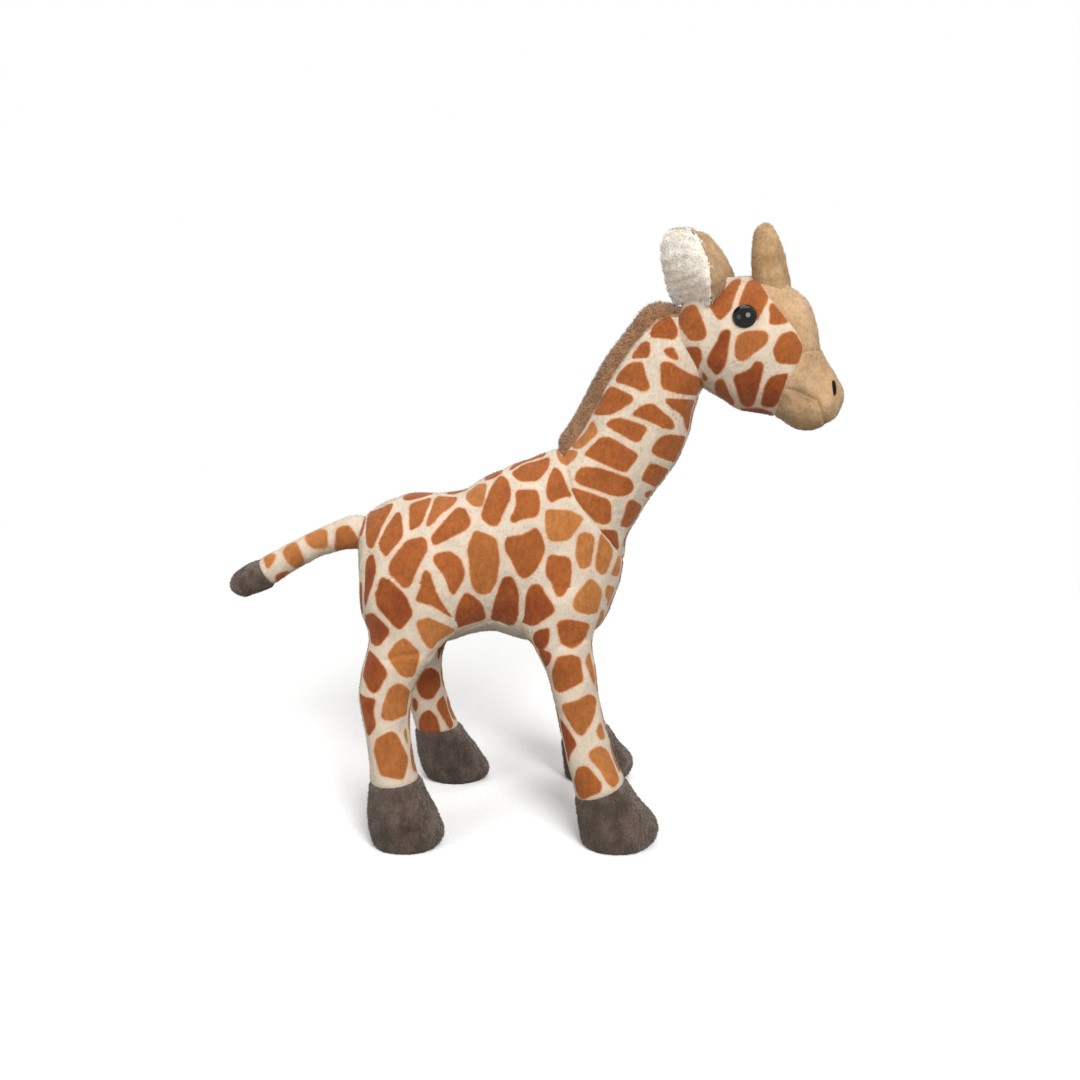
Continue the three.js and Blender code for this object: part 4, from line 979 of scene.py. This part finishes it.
def buildLegs(sweeps, torsoPoints):
    # Each leg is one surface, cut at the cuff into the printed skin and the hoof
    rights = {}
    for name, spec in legs.items():
        sweep, seamX = sweeps[name]
        kind, side = spec["kind"], spec["side"]
        shape = stations(sweep, 0, len(sweep["knots"]) - 1, leg["step"])
        share = np.linspace(0, len(shape) - 1, kind["rows"])
        shape = np.stack([np.interp(share, np.arange(len(shape)), shape[:, i]) for i in range(6)], 1)
        points = roundSkin(shape, leg["columns"])
        normal = outwardOf(points)
        centre = shape[:, None, 1]
        outer = points.copy()
        outer[..., 1] = -(np.abs(centre) + np.abs(np.abs(points[..., 1]) - np.abs(centre)))
        patches = hindPrint if kind is hind else forePrint
        direct = printField(outer, bodyPrint + patches)
        if side < 0:
            rights[name[:4]] = direct
            fields = direct
        else:
            low = 1 - smoothStep(points[..., 2], *hipBand)
            base = rights[name[:4]]
            fields = {key: direct[key] * (1 - low) + base[key] * low for key in direct}
            if kind is hind:
                inner = printField(points, farHindPrint)
                near = smoothStep(np.abs(centre) - np.abs(points[..., 1]), -0.4, 0.4)
                fields = {key: fields[key] * (1 - near) + inner[key] * near for key in fields}
        low = 1 - smoothStep(points[..., 2], 100, 110)
        fields = crisp(normal, fields)
        for patches, ahead in ((shinPrint, 1), (calfPrint, -1)):
            weight = endWeight(normal, ahead) * low
            fields = wrapPrint(points, fields, patches, points[..., 1] - centre, weight)
        lift = 0.35 * lumps(points + 17 * side, 30) + filletTo(points, torsoPoints)
        lift -= creases(outer, hipFolds)
        lean = math.radians(kind["seamLean"])
        toSeam = (points[..., 2] - kind["seam"]) * math.cos(lean) - (points[..., 0] - seamX) * math.sin(lean)
        shaped = points + normal * lift[..., None]
        shaped[..., 2] = np.maximum(shaped[..., 2], 0.05)
        quads = outwardQuads(shaped, normal)
        rise, kept = cutSkin(quads, toSeam)
        skin = shaped + normal * rise[..., None]
        tufts = dict(bodyTufts, count=4500, nap=(0, 0, -1))
        piece = makeSkin(f"skinLeg_{name}", skin, normal, kept, fields, looks["print"], tufts)
        hip = np.array([kind["hip"] + spec["step"], side * leg["hipSide"], kind["height"]])
        bend = {"from": "body", "to": f"leg_{name}",
                "start": (hip + [0, 0, leg["bendAbove"]]) * 0.001,
                "end": (hip - [0, 0, leg["bendBelow"]]) * 0.001}
        declare(piece, [f"leg_{name}"], blend=bend)
        rise, kept = cutSkin(quads, -toSeam, proud=0.5)
        hoof = shaped + normal * rise[..., None]
        tufts = dict(tufts, length=0.9, width=0.22, spread=0.6)
        piece = makeSkin(f"hoof_{name}_plush", hoof, normal, kept, {}, looks["dark"], tufts)
        declare(piece, [f"hoof_{name}"], ride=f"leg_{name}")


legSweeps = {name: legSweep(spec) for name, spec in legs.items()}
legPoints = []
for sweep, _ in legSweeps.values():
    points = roundSkin(stations(sweep, 0, len(sweep["knots"]) - 1, 1.5), 64).reshape(-1, 3)
    legPoints.append(points[points[:, 2] > filletFloor])
torsoPoints = roundSkin(stations(trunk, 0, shoulderKnot, 1.8), 110).reshape(-1, 3)
torsoPoints = torsoPoints[torsoPoints[:, 2] < body["top"]]
buildTorso(legPoints)
print("torso made")
neckBends = buildNeck()
buildMane(neckBends)
print("neck and mane made")
buildLegs(legSweeps, torsoPoints)
print("legs made")


# Head

head = {"length": 82, "height": 73, "depth": 64, "width": 55, "turn": 16}
# From the back of the head to the nose: x, z, depth and width as shares, and the lean in degrees
headRings = np.array([
    [-0.335, 0.062, 0.480, 0.720, 0], [-0.245, 0.062, 0.750, 0.900, 1], [-0.122, 0.042, 0.878, 0.964, 0],
    [0.012, 0.011, 0.988, 1.000, -2], [0.134, -0.011, 1.002, 0.982, -4], [0.232, -0.048, 0.955, 0.909, -8],
    [0.314, -0.105, 0.887, 0.818, -11], [0.370, -0.197, 0.765, 0.727, -13],
    [0.415, -0.284, 0.628, 0.636, -11], [0.473, -0.333, 0.517, 0.593, -10],
    [0.537, -0.360, 0.372, 0.545, -10], [0.581, -0.368, 0.249, 0.418, -8]])
# The mouth's seam in the head's own side view, as forward and upward millimetres from its middle
mouthSeam = np.array([
    [20, -19], [25.1, -19.4], [30.1, -20.3], [35.4, -23.2], [38.9, -24.6], [40.8, -29.2], [42.7, -34],
    [43.5, -45]])
# Where the lips start and end along the head; height, place above the seam and width of each swell
lips = {"from": (24, 32), "to": (37, 42), "swells": [(1.3, 4.5, 3.5), (-0.9, -2.5, 2.5)]}
# The hollow round each eye and the rim beyond it, only on the head's sides
socket = {"depth": 1.1, "width": 8.5, "rim": 0.5, "rimAt": 10.5, "rimWidth": 3.0, "aside": 12}
headTufts = dict(bodyTufts, length=0.7, nap=(-0.8, 0, -0.4), spread=0.4)


def fromHead(local):
    # Turns the head about its middle's vertical, then moves it into place
    turn = math.radians(head["turn"])
    x = local[..., 0] * math.cos(turn) + local[..., 1] * math.sin(turn)
    y = local[..., 1] * math.cos(turn) - local[..., 0] * math.sin(turn)
    return np.stack([x, y, local[..., 2]], -1) + headPoint


def headSweep():
    # The head's rings about its middle, closed at the back and at the nose
    rings = ringsInMm(headRings, (0, 0), [head[key] for key in ("length", "height", "depth", "width")])
    back = (-0.39 * head["length"], 0, 0.055 * head["height"])
    return sweepOf(rings, back, (0.609 * head["length"], 0, -0.363 * head["height"]))


eye = {"along": 4.1, "up": 13.6, "radius": 5.6, "dome": 4.6, "rim": 1.0, "forward": 6, "rise": 22,
       "post": 2.2, "postLength": 12}


def buildHead():
    # Four panels of one surface: printed skin, forehead, muzzle and chin
    shape = stations(headSweep(), 0, len(headRings) + 1, 0.7)
    local = roundSkin(shape, 250)
    normal = outwardOf(local)
    x, y, z = np.moveaxis(local, -1, 0)
    eyeGap = np.hypot(x - eye["along"], z - eye["up"])
    hollow = socket["rim"] * bell(eyeGap - socket["rimAt"], socket["rimWidth"])
    hollow -= socket["depth"] * bell(eyeGap, socket["width"])
    lift = 0.35 * lumps(local, 30) + hollow * (np.abs(y) > socket["aside"])
    mouthGap = z - np.interp(x, mouthSeam[:, 0], mouthSeam[:, 1])
    lip = smoothStep(x, *lips["from"]) * (1 - smoothStep(x, *lips["to"]))
    lift += lip * sum(height * bell(mouthGap - place, width) for height, place, width in lips["swells"])
    local = local + normal * lift[..., None]
    quads = outwardQuads(local, normal)
    right = fromHead(mirrored(local))
    tan, front = withinLine(right, tanSide), withinLine(right, noseSide)
    slope = np.gradient(mouthSeam[:, 1], mouthSeam[:, 0])
    above = mouthGap / np.sqrt(1 + np.interp(x, mouthSeam[:, 0], slope) ** 2)
    fields = printField(right, headPrint)
    turned = fromHead(local + normal) - fromHead(local)
    foreheadIn, muzzleIn = (np.minimum(np.minimum(tan, part), above) for part in (-front, front))
    panels = [
        ("skinHead", -tan, "print", "print_plush", ["head_skin", "head_filling"], 9000, 0.6),
        ("panelForehead", foreheadIn, "tan", "tan_plush", ["forehead_panel"], 2600, 0.5),
        ("panelMuzzle", muzzleIn, "tan", "tan_plush", ["muzzle"], 3600, 0.6),
        ("panelChin", np.minimum(tan, -above), "tanDeep", "tan_plush", ["chin_panel"], 2000, 1.0),
    ]
    for name, inside, look, slot, replaced, count, groove in panels:
        rise, kept = cutSkin(quads, inside, groove=groove)
        skin = fromHead(local + normal * rise[..., None])
        carried = fields if look == "print" else {}
        piece = makeSkin(name, skin, turned, kept, carried, looks[look], dict(headTufts, count=count))
        declare(piece, replaced, ride="head")
    return local, normal


def lathe(profile, around):
    # Profile of radius and height, turned about the third axis
    angle = np.arange(around) * 2 * math.pi / around
    profile = np.array(profile, float)
    ring = np.stack([np.cos(angle), np.sin(angle)], -1)
    points = np.zeros((len(profile), around, 3))
    points[..., :2] = profile[:, 0, None, None] * ring
    points[..., 2] = profile[:, 1, None]
    return points


def seatOn(local, normal, along, up, side):
    # The point of the head's surface at that place of its side view
    gap = np.hypot(local[..., 0] - along, local[..., 2] - up) + 1e3 * (np.sign(local[..., 1]) != side)
    row, column = np.unravel_index(np.argmin(gap), gap.shape)
    return local[row, column], normal[row, column]


def axesAlong(direction, hint=(0, 0, 1)):
    # Three square directions, the last along the given one
    third = np.array(direction, float) / np.linalg.norm(direction)
    first = np.cross(hint, third)
    first /= np.linalg.norm(first)
    return np.stack([first, np.cross(third, first), third])


def buildEyes(local, normal):
    # A turned dome with a rim, on a post that goes in through the skin
    turns = np.radians(np.linspace(0, 88, 22))
    crown = eye["dome"] - eye["rim"]
    dome = [[eye["radius"] * math.cos(t), eye["rim"] + crown * math.sin(t)] for t in turns]
    profile = [[0, -eye["postLength"]], [eye["post"], -eye["postLength"]], [eye["post"], -0.8],
               [eye["radius"] - 0.5, -0.8], [eye["radius"], -0.2], *dome, [0, eye["dome"]]]
    for name, side in bothSides:
        seat = seatOn(local, normal, eye["along"], eye["up"], side)[0]
        forward, rise = math.radians(eye["forward"]), math.radians(eye["rise"])
        facing = np.array([math.sin(forward), side, 0])
        facing = facing / np.linalg.norm(facing) * math.cos(rise) + np.array([0, 0, math.sin(rise)])
        points = fromHead(seat - facing * 0.3 + lathe(profile, 64) @ axesAlong(facing))
        piece = makeShell(f"eyeDome_{name}", points, looks["eye"])
        declare(piece, [f"eye_{name}"], ride="head")


nostril = {"along": 45.7, "up": -19.2, "length": 8.0, "width": 2.2, "lift": 1.1, "threads": 9, "lean": 20}


def buildNostrils(local, normal):
    # A flattened bead with a rib for each thread of the satin stitch
    u = np.linspace(0, math.pi, 61)[:, None]
    v = (np.arange(24) * 2 * math.pi / 24)[None]
    for name, side in bothSides:
        seat, out = seatOn(local, normal, nostril["along"], nostril["up"], side)
        across, upward, outward = axesAlong(out)
        lean = math.radians(nostril["lean"]) * np.sign(across[0])
        first = across * math.cos(lean) - upward * math.sin(lean)
        second = upward * math.cos(lean) + across * math.sin(lean)
        ribs = 1 + 0.06 * np.cos(u * 2 * nostril["threads"])
        a = nostril["width"] / 2 * np.sin(u) * np.cos(v) * ribs
        c = nostril["lift"] * np.sin(u) * np.sin(v) * ribs
        b = nostril["length"] / 2 * np.cos(u) * np.ones_like(v)
        points = fromHead(seat + a[..., None] * first + b[..., None] * second + c[..., None] * outward)
        piece = makeShell(f"nostrilStitch_{name}", points, looks["thread"])
        declare(piece, [f"nostril_{name}"], ride="head")


horn = {"height": 26.5, "root": 8, "diameter": 15, "along": 12.9, "up": 30.0, "spacing": 12, "flat": 0.75,
        "lean": 7, "leftLean": 5, "leftForward": 1.8, "leftDown": 1.2,
        "pinch": 0.45, "pinchWidth": 0.9, "pinchFrom": (0, 5), "pinchTo": (17, 23)}
# Shares of the height and of the diameter, from the root to the round tip
hornRings = np.array([[0, 0.96], [0.2, 0.98], [0.45, 0.97], [0.68, 0.88], [0.85, 0.70], [0.96, 0.41]])
hornTufts = dict(bodyTufts, count=2200, length=0.8, width=0.2, nap=(0, 0, 0.8), spread=0.5)


def buildHorns():
    # Two stubs with rounded tips, each pinched a little by the seam up its outer side
    for name, side in bothSides:
        wide, left = hornRings[:, 1] * horn["diameter"], side > 0
        up = hornRings[:, 0] * (horn["height"] + horn["root"]) - horn["root"]
        rings = np.stack([0 * up, 0 * up, up, wide, wide * horn["flat"], 0 * up + 90], 1).tolist()
        sweep = sweepOf(rings, (0, 0, -horn["root"] - 0.3), (0, 0, horn["height"]))
        points = roundSkin(stations(sweep, 0, len(rings) + 1, 0.7), 64)
        normal = outwardOf(points)
        height = points[..., 2]
        pinch = smoothStep(height, *horn["pinchFrom"]) * (1 - smoothStep(height, *horn["pinchTo"]))
        pinch = pinch * bell(points[..., 0], horn["pinchWidth"]) * (side * points[..., 1] > 0)
        lift = 0.3 * lumps(points + 9 * side, 12) - horn["pinch"] * pinch
        points = points + normal * lift[..., None]
        lean = math.radians(horn["lean"] + horn["leftLean"] * left)
        local = np.stack([points[..., 0] * math.cos(lean) - points[..., 2] * math.sin(lean), points[..., 1],
                          points[..., 0] * math.sin(lean) + points[..., 2] * math.cos(lean)], -1)
        seat = [horn["along"] + horn["leftForward"] * left, side * horn["spacing"] / 2,
                horn["up"] - horn["leftDown"] * left]
        world = fromHead(local + seat)
        turned = outwardOf(world)
        quads = outwardQuads(world, turned)
        piece = makeSkin(f"hornStub_{name}", world, turned, quads, {}, looks["tanDeep"], hornTufts)
        declare(piece, [f"horn_{name}"], ride="head")


ear = {"height": 34, "width": 32, "depth": 21, "along": -22.5, "up": 20.5, "spacing": 42, "turn": 42,
       "rootHeight": 15, "shear": 0.5, "sunk": 4.5, "lowered": 2.0, "puffed": 33,
       "bendAhead": 3.4, "bendBelow": 5, "bendAbove": 8}
# Height, set-back, width and depth as shares, from the root to the tip
earRings = np.array([
    [0.000, 0.00, 0.80, 0.72], [0.110, 0.01, 0.90, 0.84], [0.240, 0.03, 0.97, 0.90],
    [0.420, 0.05, 1.00, 0.84], [0.560, 0.08, 0.98, 0.66], [0.740, 0.12, 0.86, 0.46],
    [0.880, 0.16, 0.66, 0.34], [0.965, 0.16, 0.40, 0.24]])
# Depth share and offset of the outer and the inner curve, the rim's trim and the bulge, in millimetres
earShells = {
    "earBack": {"outer": (1.0, 0.4), "inner": (0.5, 0.0), "trim": -0.6, "bulge": 0.0, "look": "tanDeep",
                "slot": "tan_plush", "node": "ear"},
    "earLining": {"outer": (0.62, 0.0), "inner": (0.22, -1.2), "trim": -0.4, "bulge": 6.8, "look": "lining",
                  "slot": "lining_plush", "node": "ear_lining"},
}
earTufts = dict(bodyTufts, count=4500, length=0.8, width=0.2, nap=(0, 0, 0.6), spread=0.4)
liningTufts = dict(earTufts, count=3200, length=1.1, width=0.3, spread=0.25)


def earStations():
    # Height, set-back, width and depth of the ear's rings; the last two are squared to round off the tip
    steps = np.hypot(np.diff(earRings[:, 0]) * ear["height"], np.diff(earRings[:, 2]) * ear["width"] / 2)
    knots = np.concatenate([[0], np.cumsum(steps)])
    table = earRings * [ear["height"], ear["height"], ear["width"], ear["depth"]]
    table[:, 2:] **= 2
    tip = table[-1] * [1, 1, 0, 0] + [ear["height"] * 0.02, 0, 0, 0]
    knots = np.append(knots, knots[-1] + 3.5)
    shape = smoothThrough(knots, np.vstack([table, tip]), np.linspace(0, knots[-1], 62))
    shape[:, 2:] = np.sqrt(np.clip(shape[:, 2:], 0, None))
    return shape


def softened(loop):
    # Each point moves halfway to the middle of its two neighbours, four times over
    for _ in range(4):
        loop = (np.roll(loop, 1, 1) + 2 * loop + np.roll(loop, -1, 1)) / 4
    return loop


def crescent(shape, centre, side, shell):
    # Each ring is a crescent: an outer half ellipse and a shallower inner one, softened at the rims
    turn, half = math.radians(ear["turn"]), np.linspace(0, math.pi, 49)
    rim = np.array([math.cos(turn), side * math.sin(turn), 0])
    back = np.array([math.sin(turn), -side * math.cos(turn), 0])
    width, depth, up = shape[:, 2, None] / 2 - shell["trim"], shape[:, 3, None], shape[:, 0, None]
    across = np.concatenate([np.cos(half), np.cos(half[::-1])[1:-1]])[None] * width
    swell = shell["bulge"] * np.sin(math.pi * np.clip(up / ear["puffed"], 0, 1))
    outer = (depth * shell["outer"][0] + shell["outer"][1]) * np.sin(half)
    inner = (depth * shell["inner"][0] + shell["inner"][1] - swell) * np.sin(half[::-1])[1:-1]
    across, loop = softened(across), softened(np.concatenate([outer, inner], 1))
    base = centre + np.stack([-shape[:, 1], np.zeros(len(shape)), shape[:, 0]], 1)
    points = base[:, None] + across[..., None] * rim + loop[..., None] * back
    low = 1 - smoothStep(up, 0, ear["rootHeight"])
    points[..., 2] += ear["shear"] * low * np.maximum(loop, 0)
    points += (low**2)[..., None] * [0, -side * ear["sunk"], -ear["lowered"]]
    bottom, top = (np.broadcast_to(points[row].mean(0) + [0, 0, rise], (1,) + points.shape[1:])
                   for row, rise in ((0, -0.4), (-1, 0.4)))
    return np.concatenate([bottom, points, top])


def buildEars():
    # Each ear is a cupped back and a puffed lining that lies in it
    shape = earStations()
    for name, side in bothSides:
        centre = np.array([ear["along"], side * ear["spacing"] / 2, ear["up"]])
        start = fromHead(centre + [ear["bendAhead"], 0, -ear["bendBelow"]])
        bend = {"from": "head", "to": f"ear_{name}", "start": start * 0.001,
                "end": fromHead(centre + [0, 0, ear["bendAbove"]]) * 0.001}
        for part, shell in earShells.items():
            world, tufts = fromHead(crescent(shape, centre, side, shell)), earTufts
            normal = outwardOf(world)
            if part == "earLining":
                # Longer pile that parts in clumps, on a lumpy skin
                world = world + normal * (0.6 * lumps(world, 8) + 0.3 * lumps(world + 5, 5))[..., None]
                normal = outwardOf(world)
                clumps = np.stack([lumps(world, 7), lumps(world + 9, 7), 0.7 + lumps(world + 4, 6)], -1)
                tufts = dict(liningTufts, nap=0.7 * clumps.reshape(-1, 3), raised=(0.3, side * 0.8, 0.5))
            quads = outwardQuads(world, normal)
            piece = makeSkin(f"{part}_{name}", world, normal, quads, {}, looks[shell["look"]], tufts)
            declare(piece, [f"{shell['node']}_{name}"], blend=bend)


headLocal, headNormal = buildHead()
buildEyes(headLocal, headNormal)
buildNostrils(headLocal, headNormal)
buildHorns()
buildEars()
print("head made")


# Tail

tail = {"root": (-85.604, 0, 150), "length": 66.5, "drop": 28.5, "depth": 15.4, "seamHeading": 212,
        "seamAlong": 0.707, "seamDown": 0.702, "bendAhead": 3, "bendBack": 14, "bendDown": 1,
        "inside": 7.7, "tuftSunk": 0.8, "tuftFrom": (3, 12)}
tipTufts = dict(bodyTufts, count=3500, length=1.1, width=0.22, nap=(-0.9, 0, -0.5), spread=0.4)
# Along, down and thickness as shares, and the heading in degrees
tailRings = np.array([
    [-0.040, -0.030, 1.060, 184], [0.060, -0.005, 1.080, 188], [0.143, 0.040, 0.960, 192],
    [0.308, 0.185, 0.860, 202], [0.456, 0.354, 0.844, 207], [0.602, 0.547, 0.896, 211],
    [0.707, 0.702, 0.935, 212], [0.827, 0.842, 1.000, 207], [0.917, 0.940, 0.896, 202],
    [0.970, 0.982, 0.584, 200]])


def buildTail():
    # Printed skin up to the seam and a darker tuft past it; the tail is round, so its rings give one width
    root = np.array(tail["root"])
    scales = [-tail["length"], -tail["drop"], tail["depth"], tail["depth"]]
    rings = ringsInMm(tailRings[:, [0, 1, 2, 2, 3]], root[[0, 2]], scales)
    tip = (root[0] - tail["length"], 0, root[2] - tail["drop"])
    sweep = sweepOf(rings, (root[0] + tail["inside"], 0, root[2]), tip)
    points = roundSkin(stations(sweep, 0, len(rings) + 1, 0.6), 80)
    normal = outwardOf(points)
    fields = printField(mirrored(points), tailPrint)
    points = points + normal * (0.3 * lumps(points, 18))[..., None]
    quads = outwardQuads(points, normal)
    seam = root - [tail["seamAlong"] * tail["length"], 0, tail["seamDown"] * tail["drop"]]
    tipward = (points - seam) @ headingOf(tail["seamHeading"])
    rise, kept = cutSkin(quads, -tipward)
    piece = makeSkin("skinTail", points + normal * rise[..., None], normal, kept, fields, looks["print"],
                     dict(bodyTufts, count=2600, nap=(-0.8, 0, -0.4)))
    bend = {"from": "body", "to": "tail", "start": (root + [tail["bendAhead"], 0, 0]) * 0.001,
            "end": (root - [tail["bendBack"], 0, tail["bendDown"]]) * 0.001}
    declare(piece, ["tail"], blend=bend)
    rise, kept = cutSkin(quads, tipward)
    rise -= tail["tuftSunk"] * smoothStep(tipward, *tail["tuftFrom"])
    piece = makeSkin("tailTuft", points + normal * rise[..., None], normal, kept, {}, looks["tip"], tipTufts)
    declare(piece, ["tail_tip"], ride="tail")


buildTail()
print("tail made")


# Floor and light

# Radius and depth below the soles in millimetres, the fade in metres from the middle
floorSpec = {"radius": 900, "sides": 96, "below": 0.2, "fadeFrom": 0.3, "fadeTo": 0.8}


def seenWhite(tree):
    # 1 for what the camera sees, straight, in a gloss or through glass
    seen = 0.0
    for key in ("Is Camera Ray", "Is Glossy Ray", "Is Transmission Ray"):
        ray = addNode(tree, "ShaderNodeLightPath", output=key)
        seen = addNode(tree, "ShaderNodeMath", {0: seen, 1: ray}, operation="MAXIMUM")
    return seen


def buildStage():
    # A pale disc that fades out towards its edge, so no horizon shows
    radius, sides = floorSpec["radius"], floorSpec["sides"]
    angle = np.arange(sides) * 2 * math.pi / sides
    edge = np.stack([radius * np.cos(angle), radius * np.sin(angle), 0 * angle], 1)
    disc = np.concatenate([[[0, 0, 0]], edge])
    fan = [[0, i + 1, (i + 1) % sides + 1] for i in range(sides)]
    floor = makeMesh("studioFloor", disc - [0, 0, floorSpec["below"]], fan)
    # Uncoated paper: matt white with a faint grain of 1.4 mm, drawn coarser than its fibres
    look, tree = newMaterial("paperWhite")
    place = addNode(tree, "ShaderNodeTexCoord", output="Object")
    far = addNode(tree, "ShaderNodeVectorMath", {0: place}, "Value", operation="LENGTH")
    fade = addNode(tree, "ShaderNodeMapRange", {"Value": far, "From Min": floorSpec["fadeFrom"],
                   "From Max": floorSpec["fadeTo"]}, interpolation_type="SMOOTHSTEP")
    seen = layered(tree, toLinear("F4F4F3"), [(mottled(tree, 1.43, 0.3, 0.7), "FBFBFA")])
    inputs = {0: seenWhite(tree), 6: toLinear("9A9894"), 7: seen}
    colour = addNode(tree, "ShaderNodeMix", inputs, **colourMix)
    paper = addNode(tree, "ShaderNodeBsdfDiffuse", {"Color": colour, "Roughness": 0.8})
    clear = addNode(tree, "ShaderNodeBsdfTransparent")
    mixed = addNode(tree, "ShaderNodeMixShader", {0: fade, 1: paper, 2: clear})
    addNode(tree, "ShaderNodeOutputMaterial", {"Surface": mixed})
    floor.data.materials.append(look)


lights = [
    {"name": "keyPanel", "place": (0.4, -1.2, 1.0), "size": 0.8, "power": 16.5},
    {"name": "fillPanel", "place": (-1.2, -1.0, 0.7), "size": 1.0, "power": 6.0},
    {"name": "topPanel", "place": (0.1, 0.3, 1.5), "size": 1.2, "power": 7.5},
]
lightsAim = (0.0, 0.0, 0.16)


def buildLight():
    # Soft panels aimed at the middle of the toy, and a white sky that only the camera sees at full strength
    for spec in lights:
        data = bpy.data.lights.new(spec["name"], "AREA")
        data.shape, data.size, data.energy = "DISK", spec["size"], spec["power"]
        lamp = bpy.data.objects.new(spec["name"], data)
        bpy.context.collection.objects.link(lamp)
        lamp.location = spec["place"]
        aim = np.array(lightsAim) - np.array(spec["place"])
        tilt = math.acos(-aim[2] / np.linalg.norm(aim))
        lamp.rotation_euler = (tilt, 0, math.atan2(aim[1], aim[0]) - math.pi / 2)
    world = bpy.data.worlds.new("studioWorld")
    world.use_nodes = True
    tree = world.node_tree
    tree.nodes.clear()
    strength = addNode(tree, "ShaderNodeMapRange", {"Value": seenWhite(tree), "To Min": 0.5, "To Max": 1.0})
    sky = addNode(tree, "ShaderNodeBackground", {"Color": (1, 1, 1, 1), "Strength": strength})
    addNode(tree, "ShaderNodeOutputWorld", {"Surface": sky})
    bpy.context.scene.world = world


buildStage()
buildLight()
bpy.context.scene.view_settings.view_transform = "Standard"
print("floor and light made")
